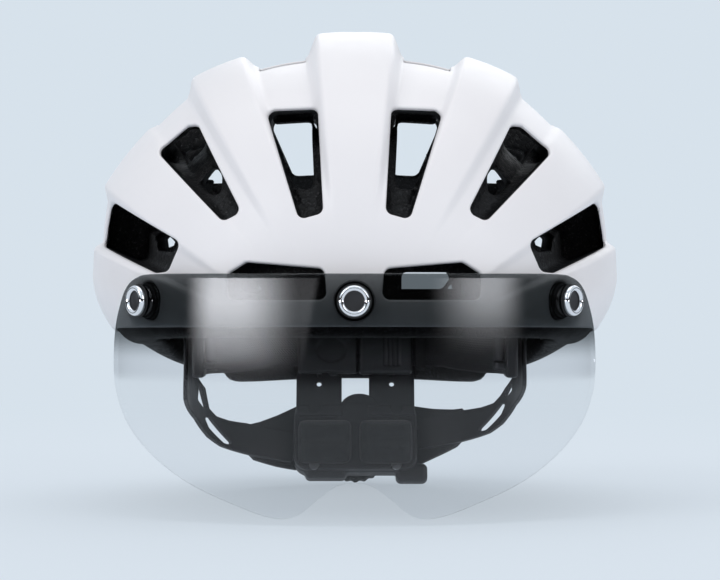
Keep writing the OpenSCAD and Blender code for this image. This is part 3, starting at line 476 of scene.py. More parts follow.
# Materials
class Tree:
    """Short ways to add nodes to a node tree."""

    def __init__(self, tree):
        self.tree = tree

    def add(self, kind, inputs=None, **settings):
        node = self.tree.nodes.new("ShaderNode" + kind)
        for key, value in settings.items():
            setattr(node, key, value)
        for key, value in (inputs or {}).items():
            if isinstance(value, bpy.types.NodeSocket):
                self.tree.links.new(value, node.inputs[key])
            else:
                node.inputs[key].default_value = value
        return node

    def math(self, operation, a, b=0.0, c=0.0, clamp=False):
        return self.add("Math", {0: a, 1: b, 2: c}, operation=operation, use_clamp=clamp).outputs[0]

    def times(self, *factors):
        return functools.reduce(lambda a, b: self.math("MULTIPLY", a, b), factors)

    def ramp(self, value, low, high, to_low, to_high, **settings):
        return self.add("MapRange", {
            "Value": value, "From Min": low, "From Max": high, "To Min": to_low, "To Max": to_high},
            **settings).outputs[0]

    def step(self, value, low, high, to_low=0.0, to_high=1.0):
        return self.ramp(value, low, high, to_low, to_high, interpolation_type="SMOOTHSTEP")

    def blend(self, factor, a, b):
        return self.add("MixShader", {0: factor, 1: a, 2: b}).outputs[0]

    def seen(self):
        """1 for the rays that look for a background: from the camera, by gloss and through glass."""
        path = self.add("LightPath")
        total = path.outputs["Is Camera Ray"]
        for name in ("Is Glossy Ray", "Is Transmission Ray"):
            total = self.math("ADD", total, path.outputs[name], clamp=True)
        return total


class Nodes(Tree):
    """A material's node tree, with a Principled shader at its end."""

    def __init__(self, name, color, roughness, metallic=0.0, **sockets):
        self.material = bpy.data.materials.new(name)
        self.material.use_nodes = True
        super().__init__(self.material.node_tree)
        self.shader = self.tree.nodes["Principled BSDF"]
        self.shader.inputs["Base Color"].default_value = (*color, 1)
        self.shader.inputs["Roughness"].default_value = roughness
        self.shader.inputs["Metallic"].default_value = metallic
        for key, value in sockets.items():
            self.shader.inputs[key.replace("_", " ")].default_value = value
        self.coords = self.add("TexCoord").outputs["Object"]

    def noise(self, scale, detail=2.0, rough=0.5):
        return self.add("TexNoise", {
            "Vector": self.coords, "Scale": scale, "Detail": detail, "Roughness": rough}).outputs["Fac"]

    def cloud(self, scale, detail, to_low, to_high):
        return self.ramp(self.noise(scale, detail), 0.3, 0.7, to_low, to_high)

    def mix(self, factor, a, b):
        node = self.add("Mix", {"Factor": factor}, data_type="RGBA")
        for socket, value in ((node.inputs[6], a), (node.inputs[7], b)):
            if isinstance(value, bpy.types.NodeSocket):
                self.tree.links.new(value, socket)
            else:
                socket.default_value = (*value, 1)
        return node.outputs[2]

    def set(self, socket, value):
        self.tree.links.new(value, self.shader.inputs[socket])

    def bump(self, height, strength, distance):
        previous = self.shader.inputs["Normal"]
        node = self.add("Bump", {"Height": height, "Strength": strength, "Distance": distance})
        if previous.is_linked:
            self.tree.links.new(previous.links[0].from_socket, node.inputs["Normal"])
        self.tree.links.new(node.outputs["Normal"], previous)

    def end_in(self, surface):
        """Takes another surface in place of the Principled shader's."""
        self.tree.links.new(surface, self.tree.nodes["Material Output"].inputs["Surface"])


def shell_material():
    m = Nodes("shell_white", (0.80, 0.79, 0.81), 0.42, Specular_IOR_Level=0.42, Coat_Weight=0.12,
              Coat_Roughness=0.3)
    m.set("Base Color", m.mix(m.cloud(18, 3, 0, 1), (0.79, 0.78, 0.80), (0.82, 0.81, 0.83)))
    m.set("Roughness", m.cloud(160, 3, 0.36, 0.46))
    m.bump(m.noise(2600, 2), 0.12, 0.0002)
    return m.material


def foam_material():
    """Black foam of fused beads with pale flecks."""
    m = Nodes("foam_black", (0.012, 0.012, 0.013), 0.62, Specular_IOR_Level=0.35)
    beads = {"Vector": m.coords, "Scale": 420.0}
    seam = m.add("TexVoronoi", beads, feature="DISTANCE_TO_EDGE").outputs["Distance"]
    tone = m.add("TexVoronoi", beads, feature="F1").outputs["Color"]
    shade = m.add("SeparateColor", {"Color": tone}).outputs[0]
    base = m.mix(shade, (0.006, 0.006, 0.007), (0.017, 0.017, 0.018))
    fleck = m.ramp(m.noise(1050, 3, 0.65), 0.56, 0.72, 0, 1)
    m.set("Base Color", m.mix(fleck, base, (0.085, 0.085, 0.09)))
    m.set("Roughness", m.ramp(shade, 0, 1, 0.5, 0.72))
    m.bump(m.ramp(seam, 0.0, 0.16, 0, 1), 0.5, 0.0003)
    m.bump(m.noise(1500, 3), 0.25, 0.00025)
    return m.material


def plastic_material(name, color, roughness, grain=900, strength=0.1):
    m = Nodes(name, color, roughness, Specular_IOR_Level=0.45)
    lighter = tuple(c * 1.35 + 0.003 for c in color)
    m.set("Base Color", m.mix(m.ramp(m.noise(60, 3), 0.35, 0.65, 0, 1), color, lighter))
    m.set("Roughness", m.cloud(240, 2, roughness - 0.06, roughness + 0.08))
    m.bump(m.noise(grain, 2), strength, 0.0002)
    return m.material


def metal_material(name, color, roughness, brushed=0.0):
    m = Nodes(name, color, roughness, metallic=1.0)
    m.set("Roughness", m.cloud(700, 3, max(roughness - 0.04, 0.02), roughness + 0.06))
    if brushed:
        m.bump(m.noise(3000, 2), brushed, 0.00005)
    return m.material


def knit_material():
    """Knit of the pads, with loops every 1.5 mm."""
    m = Nodes("pad_fabric", (0.022, 0.022, 0.025), 0.92, Sheen_Weight=0.35, Sheen_Roughness=0.5,
              Specular_IOR_Level=0.2)
    axes = m.add("SeparateXYZ", {"Vector": m.coords}).outputs
    wave = [m.math("SINE", m.times(axis, 4200.0)) for axis in axes]
    weave = m.times(m.math("ADD", wave[0], wave[2]), m.math("ADD", wave[1], 1.5))
    cloud = m.cloud(900, 3, 0, 1)
    m.set("Base Color", m.mix(cloud, (0.014, 0.014, 0.016), (0.036, 0.036, 0.040)))
    m.bump(m.ramp(weave, -5, 5, 0, 1), 0.2, 0.0002)
    m.bump(m.noise(1200, 2), 0.12, 0.0002)
    return m.material


def webbing_material():
    """Woven band: chevrons 4 mm wide, picks every 1.2 mm and cords every millimetre."""
    m = Nodes("webbing_black", (0.02, 0.02, 0.022), 0.8, Sheen_Weight=0.2, Sheen_Roughness=0.4,
              Specular_IOR_Level=0.3)
    uv = m.add("UVMap", uv_map="along").outputs[0]
    across, along = m.add("SeparateXYZ", {"Vector": uv}).outputs[:2]
    folded = m.math("ABSOLUTE", m.math("SUBTRACT", m.math("FRACT", m.times(across, 0.25)), 0.5))
    rib = m.math("SINE", m.math("ADD", m.times(along, 5.2), m.times(folded, 22.0)))
    cords = m.math("SINE", m.times(across, 6.2832))
    height = m.math("ADD", m.times(rib, 0.5), m.times(cords, 0.3))
    height = m.ramp(height, -0.8, 0.8, 0, 1)
    # Painted shade and highlight: the colour follows the weave's height, darker in its hollows and lighter on
    # its ridges
    m.set("Base Color", m.mix(height, (0.010, 0.010, 0.011), (0.034, 0.034, 0.038)))
    m.bump(height, 0.7, 0.0003)
    m.bump(m.noise(4000, 2), 0.2, 0.0001)
    return m.material


def rubber_material():
    m = Nodes("black_rubber", (0.014, 0.014, 0.015), 0.75, Specular_IOR_Level=0.3)
    m.set("Roughness", m.cloud(300, 3, 0.66, 0.84))
    m.bump(m.noise(1800, 2), 0.15, 0.0002)
    return m.material


def lens_material():
    """Thin smoke lens: darkest along its top band, clear below, glossy on both faces."""
    m = Nodes("lens_smoke", (0.5, 0.5, 0.5), 0.05)
    height = m.add("SeparateXYZ", {"Vector": m.coords}).outputs[2]
    clear = m.mix(m.step(height, -0.009, -0.004), (0.945, 0.95, 0.955), (0.90, 0.905, 0.915))
    tint = m.mix(m.step(height, -0.001, 0.013), clear, (0.405, 0.42, 0.425))
    through = m.add("BsdfTransparent", {"Color": tint}).outputs[0]
    gloss = m.add("BsdfGlossy", {"Color": (1, 1, 1, 1), "Roughness": 0.045}).outputs[0]
    facing = m.add("LayerWeight", {"Blend": 0.5}).outputs["Facing"]
    m.end_in(m.blend(m.math("MULTIPLY_ADD", m.math("POWER", facing, 5.0), 0.9, 0.02), through, gloss))
    m.tree.nodes.remove(m.shader)
    return m.material


BY_SLOT = {
    "shell_white": shell_material(),
    "foam_black": foam_material(),
    "black_plastic": plastic_material("black_plastic", (0.016, 0.016, 0.018), 0.42),
    "cradle_plastic": plastic_material("cradle_plastic", (0.015, 0.0135, 0.0165), 0.5),
    "ring_chrome": metal_material("ring_chrome", (0.83, 0.83, 0.85), 0.09),
    "magnet_steel": metal_material("magnet_steel", (0.58, 0.58, 0.60), 0.28, 0.1),
    "screw_steel": metal_material("screw_steel", (0.50, 0.50, 0.52), 0.34, 0.15),
    "pad_fabric": knit_material(),
    "webbing_black": webbing_material(),
    "black_rubber": rubber_material(),
    "lens_smoke": lens_material()}

for part in frame["record"]["subparts"]:
    obj = frame["nodes"][part["node"]]
    if not obj.data.materials:
        obj.data.materials.append(None)
    for i in range(len(obj.data.materials)):
        obj.data.materials[i] = BY_SLOT[part["material_slot"]]


# Outer shell
def crowded(low, high, coarse, fine, keys, reach):
    """Values from low to high, close together within reach of each key."""
    out = [low]
    while out[-1] < high:
        near = min(abs(out[-1] + fine - k) for k in keys)
        out.append(out[-1] + (fine if near < reach else coarse))
    out[-1] = high
    return np.array(out)


def even_rows(count, radius):
    """Angles phi that divide the helmet's length into equal steps along its surface."""
    phi = np.linspace(-89.6, 89.6, 4001)
    line = np.stack([radius * taper(phi), HALF_L * spow(sind(phi), 2 / DOME_POWER)], 1)
    run = run_along(line)
    return np.interp(np.linspace(0, run[-1], count), run, phi)


def shell_field(par):
    """Above 0 where the shell has material, between its edge, the vents and the sockets."""
    x, y, z = dome_point(par[:, 0], par[:, 1], 0.0).T
    return either(vent_distance(x, y, z), above(SHELL_EDGE, y, z), socket_distance(x, y, z, SOCKET_R + SEAT))


def make_shell():
    edges = [k for c in CHANNELS for k in c[:4]] + [72, 78]
    us = crowded(-116, 116, 0.85, 0.3, edges + [-k for k in edges], 1.0)
    skin = sheet_solid(us, even_rows(250, 118), dome_point, shell_field, SHELL_T - 0.05, 0.8, 0.2)
    add_mesh("shell_skin", *skin, "helmet", "shell_white", "outer_shell", sharp=50)


make_shell()


# Foam liner
def dome_field(x, y, z, inset):
    """Negative inside the dome moved in by inset, and 0 on it."""
    rho = np.hypot(x, z)
    a = np.degrees(np.arctan2(x, z))
    flat = np.interp(a, TABLE_A, BASE_TABLE)
    along = np.abs(y) / (HALF_L - inset)
    phi = np.sign(y) * np.degrees(np.arctan2(along ** (DOME_POWER / 2), (rho / flat) ** (DOME_POWER / 2)))
    unspread = a - np.clip(a / 6.8, -1, 1) * RIB_SPREAD * np.abs(phi) / RING_END
    groove = np.interp(unspread, TABLE_A, DEPTH_TABLE) * channel_fade(phi)
    r = np.interp(unspread, TABLE_A, BASE_TABLE) - groove - inset
    return ((rho / r) ** DOME_POWER + along ** DOME_POWER) ** (1 / DOME_POWER) - 1


def cavity_field(x, y, z):
    """Negative inside the room for the head, and 0 on its wall."""
    up = np.maximum(z, 0) / CAV_Z
    total = (np.abs(x) / CAV_X) ** CAV_POWER + (np.abs(y + CAV_SHIFT) / CAV_Y) ** CAV_POWER + up ** CAV_POWER
    return np.maximum(total, 1e-6) ** (1 / CAV_POWER) - 1


def about_pins(y, z):
    """Distance from the pins' line and the angle from straight back, upwards."""
    return np.hypot(y - PIN_Y, z - PIN_Z), np.degrees(np.arctan2(z - PIN_Z, y - PIN_Y))


# Millimetres per degree round the pins, at the hangers
PIN_PER_DEGREE = 1.25
# Place of the straps' plugs on the right side, and how far each turns from straight out
STRAP_ANCHORS = (((72.4, -44, 16), -14), ((61.2, 58.5, 16), 27))
# Radii of the pockets for the pins' and the straps' plugs
PIN_PLUG_R, ANCHOR_R = 9.2, 8.2


def liner_distance(x, y, z):
    """Foam between dome and cavity, with vents and the pockets of the parts let into it."""
    step = float(x[1, 0, 0] - x[0, 0, 0])
    solid = unit_slope(dome_field(x, y, z, SHELL_T + BOND_GAP + 0.1), step)
    depth = -solid
    solid = smax(solid, -unit_slope(cavity_field(x, y, z), step), 3.0)
    solid = smax(solid, -above(FOAM_EDGE, y, z), 3.0)
    solid = smax(solid, -vent_distance(x, y, z, depth), 2.0)
    ax = np.abs(x)
    r, angle = about_pins(y, z)
    sockets = socket_distance(x, y, z, SOCKET_R + SEAT)
    pin_plugs = both(r - PIN_PLUG_R, 72.6 - ax, ax - 89.8)
    guide = both(68.8 - r, r - 77.2, both(-15.4 - angle, angle + 5.6) * PIN_PER_DEGREE, ax - 27.2)
    hangers = both(70.4 - r, r - 73.2, both(-37 - angle, angle - 5) * PIN_PER_DEGREE, 5.4 - ax, ax - 26.6)
    solid = cut(solid, sockets, pin_plugs, guide, hangers)
    for (px, py, pz), lean in STRAP_ANCHORS:
        dx, dy = cosd(lean), sind(lean)
        along = (ax - px) * dx + (y - py) * dy
        across = np.hypot((ax - px) * -dy + (y - py) * dx, z - pz)
        solid = cut(solid, both(across - ANCHOR_R, -8 - along, along - 9.2))
    return solid


def make_liner():
    foam = voxel_mesh((-110, -142, -18), (220, 284, 154), 1.25, liner_distance)
    add_mesh("foam_liner", *foam, "helmet", "foam_black", "eps_liner", sharp=60)


make_liner()


# Visor
LENS_HALF = [
    (0, 32), (40, 32), (74, 32), (82, 30.8), (86.6, 27), (89.5, 20), (91.6, 11), (92.3, -2), (91, -13),
    (86, -24.5), (76, -35.5), (61, -45.4), (42, -53.2), (32, -56.4), (25.5, -57), (19.8, -55.2),
    (13.3, -49.9), (6.2, -44.9), (0, -43.7)]


def lens_surface(u, v, depth):
    r = LENS_R - depth
    return np.stack([r * sind(u), -LENS_AXIS - r * cosd(u), v], -1)


def make_lens():
    half = spline(LENS_HALF, 6)
    outline = np.concatenate([half, half[-2:0:-1] * [-1, 1]])

    def field(par):
        u, v = par.T
        holes = [np.hypot(2 * LENS_R * sind((u - angle) / 2), v - MAGNET_Z) - 4.2 for angle in STUD_ANGLES]
        return either(-polygon_distance(outline, LENS_R * sind(u), v), *holes)

    us, vs = np.linspace(-70, 70, 141), np.linspace(-58, 34, 74)
    glass = sheet_solid(us, vs, lens_surface, field, LENS_T, 0.7, 0.5)
    add_mesh("lens", *glass, "visor", "lens_smoke", "visor_lens", sharp=60)


def lathe(profile, segments):
    """Turns a closed outline of (radius, height) pairs about +Z."""
    n = len(profile)
    verts, faces = [], []
    for i in range(segments):
        a = i * 360 / segments
        verts += [(r * cosd(a), r * sind(a), h) for r, h in profile]
        j = (i + 1) % segments
        for k in range(n):
            m = (k + 1) % n
            if profile[k][0] or profile[m][0]:
                faces.append((i * n + k, j * n + k, j * n + m, i * n + m))
    return flipped(verts, faces)


def stud_frame(angle, points):
    """Local +Z runs outwards from the lens's axis at a stud."""
    x, y, z = np.asarray(points, float).T
    return turned(np.stack([x, -z, y], 1), angle) + [0, -LENS_AXIS, MAGNET_Z]


def make_studs():
    ring = [
        (4.4, 0.0), (5.55, 0.0), (5.78, 0.12), (5.84, 0.4), (5.8, 1.1), (5.62, 1.65), (5.3, 2.1), (4.9, 2.28),
        (4.5, 2.26), (4.1, 2.08), (3.8, 1.8), (3.58, 1.5), (3.52, 1.3), (3.62, 1.18), (4.3, 1.15), (4.4, 1.0)]
    v, f = lathe(ring, 96)
    for angle, name in zip(STUD_ANGLES, ("left_ring", "centre_ring", "right_ring")):
        add_mesh("bright_" + name, stud_frame(angle, v + [0, 0, LENS_R + 0.7]), f,
                 "visor", "ring_chrome", name, sharp=0)
    gasket = [(4.3, 0.0), (6.1, 0.0), (6.28, 0.12), (6.3, 0.25), (6.22, 0.42), (6.05, 0.5), (4.3, 0.5)]
    stud = [
        (0, 0), (6.2, 0), (6.4, 0.25), (6.4, 1.25), (6.2, 1.5), (4.1, 1.5), (4.1, 4.9), (4.0, 5.35),
        (3.7, 5.5), (3.2, 5.42), (1.6, 5.25), (0, 5.2)]
    for name, profile, out, slot, node in (
            ("gaskets", gasket, LENS_R + 0.1, "black_rubber", "stud_gaskets"),
            ("studs", stud, STUD_BACK, "black_plastic", "visor_studs")):
        v, f = lathe(profile, 72)
        add_mesh(name, *joined([(stud_frame(a, v + [0, 0, out]), f) for a in STUD_ANGLES]),
                 "visor", slot, node, sharp=50)


make_lens()
make_studs()


# Cradle
def cradle(points):
    """From the belts' tilted frame, where Y runs out to the nape, to the helmet's."""
    p = np.asarray(points, float)
    c, s = cosd(SLOPE), sind(SLOPE)
    return np.stack([p[:, 0], PIN_Y + p[:, 1] * c + p[:, 2] * s, RING_Z - p[:, 1] * s + p[:, 2] * c], -1)


def prism(points, depth):
    """Straight solid of an outline in X and Y, from z = 0 to depth."""
    n = len(points)
    verts = [(x, y, 0) for x, y in points] + [(x, y, depth) for x, y in points]
    faces = [tuple(range(n - 1, -1, -1)), tuple(range(n, 2 * n))]
    return np.array(verts, float), faces + [(i, (i + 1) % n, n + (i + 1) % n, n + i) for i in range(n)]


BELT_R, BELT_T = 72, 1.8
# Outlines of the belts, as millimetres round the head and heights
BAND_LOW = [(-8, 16), (-8, 9), (0, 0.9), (21.2, -1.1), (34.4, -5.4), (44.5, -7), (54, -7), (90, -7)]
BAND_HIGH = [(90, 7), (60, 7), (49, 5.8), (40, 5.5), (34, 7.4)]
ARM_HIGH = [(30, 12.4), (22, 14.7), (14, 18.2), (6, 25.6), (-4, 28)]
SLOT_LOW = [(29.7, 2.2), (34.9, 3.5), (53, -4.8), (46, -5.2), (33.9, -1.3)]
SLOT_LEFT = [(22, 4.9), (23.4, 12.5), (25.6, 12), (31.4, 3.9), (29.3, 3)]
SLOT_RIGHT = [(22.4, 9.2), (23.4, 12.7), (25.4, 12.3), (30.4, 9), (29, 7.9)]
# Half section of the boss and eye on the temple pin: radius and distance from the middle
BOSS = [(3.06, 69.9), (8.9, 69.9), (9.2, 70.2), (9.2, 71.6), (8.8, 72), (6.2, 72), (5.6, 72.3), (5.5, 73),
        (5.5, 76.4), (5.2, 76.8), (3.4, 76.8), (3.06, 76.5)]


def make_belt(side, name):
    """One belt with its strip up to the temple pin, the eye there and the toothed rack."""
    lift = 3 * side
    outline = [(u, v + lift) for u, v in BAND_LOW + BAND_HIGH] + ARM_HIGH
    low_slot = [(u, v + lift) for u, v in SLOT_LOW]
    high_slot = SLOT_LEFT if side < 0 else SLOT_RIGHT
    per_degree = BELT_R * math.radians(1)

    def field(par):
        u, v = par[:, 0] * per_degree, par[:, 1]
        f = -smax(polygon_distance(outline, u, v), (par[:, 0] - 66.9) * per_degree, 1.0)
        return either(f, rounded_polygon(low_slot, u, v, 0.8), rounded_polygon(high_slot, u, v, 0.5))

    def surface(u, v, depth):
        r = BELT_R - depth
        return cradle(np.stack([r * cosd(u), r * sind(u), v], -1))

    us, vs = np.linspace(-7, 67, 112), np.linspace(-12, 33, 62)
    band = sheet_solid(us, vs, surface, field, BELT_T, 0.45, 0.45)
    leg = voxel_mesh((68.6, PIN_Y - 9, RING_Z + lift + 8), (4.6, 18, 32), 0.4,
                     lambda x, y, z: leg_distance(x, y, z, RING_Z + lift + 9))
    v, boss_faces = lathe(BOSS, 72)
    boss = np.stack([v[:, 2], v[:, 1] + PIN_Y, v[:, 0] + PIN_Z], -1)
    # The rack's teeth have module 1: they repeat every pi mm and lean by 25 degrees
    half = (math.pi / 2 - 0.3) / 2
    lean = math.tan(math.radians(25))
    rack = [(23, 4.9), (29.4, 4.9), (29.4, 8.4), (-14, 8.4), (-14, 4.9)]
    for i in range(-4, 4):
        mid = (i + 0.5) * math.pi
        rack += [(mid - half - 0.9 * lean, 4.9), (mid - half + 0.6 * lean, 3.4),
                 (mid + half - 0.6 * lean, 3.4), (mid + half + 0.9 * lean, 4.9)]
    v, rack_faces = prism(rack, 2)
    rack = cradle(np.stack([v[:, 0], 66.6 - v[:, 2], v[:, 1] * side], -1))
    belt = joined([band, leg, flipped(boss, boss_faces), flipped(rack, rack_faces)])
    add_mesh(name + "_arm_belt", *on_side(side, *belt), name + "_arm", "cradle_plastic", name + "_belt",
             sharp=40)


def leg_distance(x, y, z, low):
    """Strip from the belt up to the eye at the temple pin."""
    sheet = np.abs(np.hypot(x, y - PIN_Y) - 71.1) - 0.6
    wide = both(np.abs(y - PIN_Y) - 7.9, z - PIN_Z)
    hole = np.hypot(y - PIN_Y, z - PIN_Z) - 3.1
    return cut(smax(smax(sheet, wide, 0.5), low - z, 0.6), hole)


for side, name in SIDES:
    make_belt(side, name)


def box_distance(x, y, z, low, high, r):
    """Distance to a box with rounded edges."""
    q = [np.abs(v - (a + b) / 2) - (b - a) / 2 + r for v, a, b in zip((x, y, z), low, high)]
    outside = np.sqrt(sum(np.maximum(v, 0) ** 2 for v in q))
    return outside + np.minimum(both(*q), 0) - r


def smin(a, b, k):
    return -smax(-a, -b, k)


def cover_distance(x, y, z):
    """Cover under the dial, in the cradle's frame."""
    plate = smax(rounded_box(x, z, 27, 15, 6), np.abs(y - 66.2) - 4.4, 2.0)
    d = cut(plate, both(np.abs(z) - 10.8, y - 68.4))
    foot = box_distance(x, y, z, (-22, 62.2, -17.6), (-4, 70.2, -12), 2.0)
    block = box_distance(x, y, z, (17.6, 62.2, -19), (31.6, 70.2, -10.8), 2.4)
    d = smin(smin(d, foot, 1.5), block, 1.0)
    r = np.hypot(x, z)
    return cut(d, r - 2.56, both(np.abs(r - 17.6) - 0.35, 70.1 - y))


def plate_distance(x, y, z):
    """Plate that carries the pads, in the cradle's frame, with four screw holes."""
    plate = smax(rounded_box(x, z, 27, 15, 6), np.abs(y - 60.0) - 1.6, 0.9)
    crest = np.hypot((x - 1.8) / 8.4, (z - 13.4) / 6.4) - 1
    crest = smax(crest * 6.4, np.abs(y - 60.0) - 1.5, 0.8)
    roots = either(*(box_distance(x, y, z, (a, 57, 9.6), (a + 20, 59, 14), 0.5) for a in (-26, 6)))
    d = smin(smin(plate, crest, 1.0), roots, 0.8)
    for sx in (-18, 18):
        for sz in (-12.9, 12.9):
            across = np.hypot(x - sx, z - sz)
            d = cut(d, either(across - 1.2, both(across - 2.4, y - 59.6)))
    return cut(d, both(np.hypot(x, z) - 1.55, 59.4 - y))


# Outlines of the cover's wings over the belts, as degrees round the head and heights
WINGS = {
    -1: [(51, -9), (53, -10.8), (62, -12), (69.4, -12.5), (69.4, 17), (62, 11.5), (55, 7), (51, 5)],
    1: [(51, -3), (53, -4.8), (62, -8), (69.4, -11), (69.4, 17), (62, 14.5), (54, 12.5), (50, 12)]}
WING_R, WING_PER_DEGREE, HANGER_R = 74.4, 1.2566, 72.6


def wing_surface(a, h, depth):
    r = WING_R - depth
    return np.stack([r * cosd(a), r * sind(a), h], -1)


def hanger_surface(u, a, depth):
    r = HANGER_R - depth
    return np.stack([u, PIN_Y + r * cosd(a), PIN_Z + r * sind(a)], -1)


def make_housing():
    v, f = voxel_mesh((-33, 61.2, -20.5), (67, 10.4, 37), 0.5, cover_distance)
    pieces = [(cradle(v), f)]
    us, vs = np.linspace(50, 69.6, 40), np.linspace(-14, 18, 60)
    for side, points in WINGS.items():
        outline = [(u * WING_PER_DEGREE, v) for u, v in points]

        def wing(par):
            return -polygon_distance(outline, par[:, 0] * WING_PER_DEGREE, par[:, 1])

        v, f = on_side(side, *sheet_solid(us, vs, wing_surface, wing, 1.6, 0.4, 0.4))
        pieces.append((cradle(v), f))
    add_mesh("cover", *joined(pieces), "cradle", "cradle_plastic", "housing_cover", sharp=40)
    v, f = voxel_mesh((-27.8, 56.2, -15.8), (55.6, 6.2, 36.4), 0.4, plate_distance)
    pieces = [(cradle(v), f)]
    vs = np.linspace(-37.3, -3.7, 56)
    for middle in (-16, 16):
        def hanger(par):
            u, a = par[:, 0] - middle, par[:, 1]
            holes = [np.hypot(u, (a + 24.5 - 3.2 * k) * PIN_PER_DEGREE) - 1.1 for k in range(5)]
            return either(-rounded_box(u, (a + 20.5) * PIN_PER_DEGREE, 10, 20.6, 2.0), *holes)

        us = np.linspace(middle - 10.4, middle + 10.4, 36)
        pieces.append(sheet_solid(us, vs, hanger_surface, hanger, 1.6, 0.35, 0.35))
    add_mesh("housing", *joined(pieces), "cradle", "cradle_plastic", "dial_housing", sharp=40)


make_housing()


def dial_frame(verts, faces):
    """Local +Z runs out along the dial's axis."""
    x, y, z = np.asarray(verts, float).T
    return cradle(np.stack([x, z, -y], -1)), [tuple(reversed(f)) for f in faces]


def make_dial():
    knob = [(2.55, 71.5), (13.6, 71.5), (14, 71.9), (14, 77.7), (13.7, 78.5), (13.0, 79.2), (12.3, 79.5),
            (10.4, 79.5), (10.0, 79.3), (9.6, 78.9), (9.2, 78.7), (3.4, 78.7), (3.0, 78.5), (2.5, 77.6),
            (1.3, 77.5), (1.3, 77.0), (2.55, 76.9)]
    v, f = voxel_mesh((3.6, -1.2, 78.2), (6.2, 2.4, 1.4), 0.2,
                      lambda x, y, z: box_distance(x, y, z, (4.2, -0.7, 78.4), (9.2, 0.7, 79.2), 0.4))
    bars = [(turned(v, 90 + 120 * k), f) for k in range(3)]
    add_mesh("knob", *dial_frame(*joined([lathe(knob, 120)] + bars)), "dial", "cradle_plastic", "dial_knob",
             sharp=35, material=BY_SLOT["black_plastic"])
    grip = [(14.06, 72.3), (15.2, 72.3), (15.5, 72.6), (15.5, 76.8), (15.2, 77.1), (14.06, 77.1)]
    v, f = lathe(grip, 240)
    r = np.hypot(v[:, 0], v[:, 1])
    lobes, rise = 24, 0.34
    lobe = np.where(r > 15, (r + rise * np.cos(lobes * np.arctan2(v[:, 1], v[:, 0]))) / r, 1)
    v[:, :2] *= lobe[:, None]
    add_mesh("grip", *dial_frame(*flipped(v, f)), "dial", "black_rubber", "dial_grip", sharp=50)


make_dial()


# Webbing, dividers and buckle
# A route's points: place in millimetres, then the way that the webbing's face looks
ROUTES = {
    "front": [(72.0, -44, 16, 1, -0.25, 0), (69.4, -34, 16, 1, -0.2, 0), (66.4, -22, 16, 1, -0.1, 0),
              (64.2, -8.3, 16, 1, 0, 0)],
    "rear": [(64.2, 12.3, 16, 1, 0, 0), (64.0, 24, 16, 1, 0.03, 0), (63.4, 40, 16, 1, 0.12, 0),
             (62.5, 50, 16, 1, 0.25, 0), (60.8, 58.1, 16, 1, 0.5, 0)],
    "chin": [(64.2, 12.3, -2, 1, 0, 0), (63.5, 24, -2, 1, 0.1, 0), (60.6, 40, -2, 1, 0.35, 0),
             (54.0, 54, -2, 1, 0.7, 0), (44.0, 67.5, -1, 0.8, 1, 0), (37.5, 75.2, 0, 0.5, 1, 0),
             (32.0, 78, 0, 0, 1, 0), (25.3, 78, 0, 0, 1, 0)]}
WEB_FACE = [(-7.5, -0.25), (-7.3, -0.62), (-6.9, -0.72), (-5, -0.78), (0, -0.8), (5, -0.78), (6.9, -0.72),
            (7.3, -0.62), (7.5, -0.25)]
WEB_SECTION = WEB_FACE + [(-a, -t) for a, t in WEB_FACE]


def make_strap(name, route, side):
    """Webbing along a route, with its uv in millimetres for the weave."""
    p = spline(route, 12)
    place, face = p[:, :3], p[:, 3:] / np.linalg.norm(p[:, 3:], axis=1)[:, None]
    along = np.gradient(place, axis=0)
    across = np.cross(face, along)
    across /= np.linalg.norm(across, axis=1)[:, None]
    run = run_along(place)
    verts, uv = [], []
    for i in range(len(p)):
        for a, t in WEB_SECTION:
            verts.append(place[i] + across[i] * a + face[i] * t)
            uv.append((a + (40 if t > 0 else 0), run[i]))
    m, n = len(WEB_SECTION), len(p)
    faces = [(i * m + k, i * m + (k + 1) % m, (i + 1) * m + (k + 1) % m, (i + 1) * m + k)
             for i in range(n - 1) for k in range(m)]
    faces += [tuple(range(m)), tuple(range(n * m - 1, (n - 1) * m - 1, -1))]
    add_mesh(name + "_webbing", *on_side(side, *flipped(verts, faces)), "helmet", "webbing_black", name,
             sharp=50, uv=uv)


for side, name in SIDES:
    for kind, route in ROUTES.items():
        make_strap(f"{name}_{kind}_strap", route, side)


# The lever's pin runs upwards through (LEVER_X, LEVER_Y), with its middle at LEVER_Z
LEVER_X, LEVER_Y, LEVER_Z = 59.1, -4, 7
WEB_X = 64.2


def divider_distance(x, y, z):
    """Right divider: mouths for the webbing, a ribbed dish and two ears for the lever."""
    body = box_distance(x, y, z, (61.7, -8, -10), (66.7, 12, 24), 1.3)
    for height, end in ((16, 9.6 - y), (-2, 9.6 - y), (16, y + 5.6)):
        body = cut(body, both(np.abs(x - WEB_X) - 1.25, np.abs(z - height) - 7.7, end))
    body = cut(body, box_distance(x, y, z, (66.1, -4.5, -6.5), (70, 8.5, 20.5), 1.0))
    ribs = both(np.abs(x - 66.0) - 0.5, np.abs(y - 2) - 5.5, np.abs(np.mod(z - LEVER_Z + 2, 4) - 2) - 0.6)
    body = either(body, both(ribs, np.abs(z - LEVER_Z) - 11.5))
    r = np.hypot(x - LEVER_X, y - LEVER_Y)
    ear = either(r - 2.6, box_distance(x, y, z * 0, (LEVER_X, -6.6, -1), (62.2, -1.4, 1), 0.4))
    for height in (LEVER_Z - 11.8, LEVER_Z + 11.8):
        body = either(body, smax(ear, np.abs(z - height) - 1.5, 0.5))
    return cut(body, both(r - 1.78, np.abs(z - LEVER_Z) - 40))


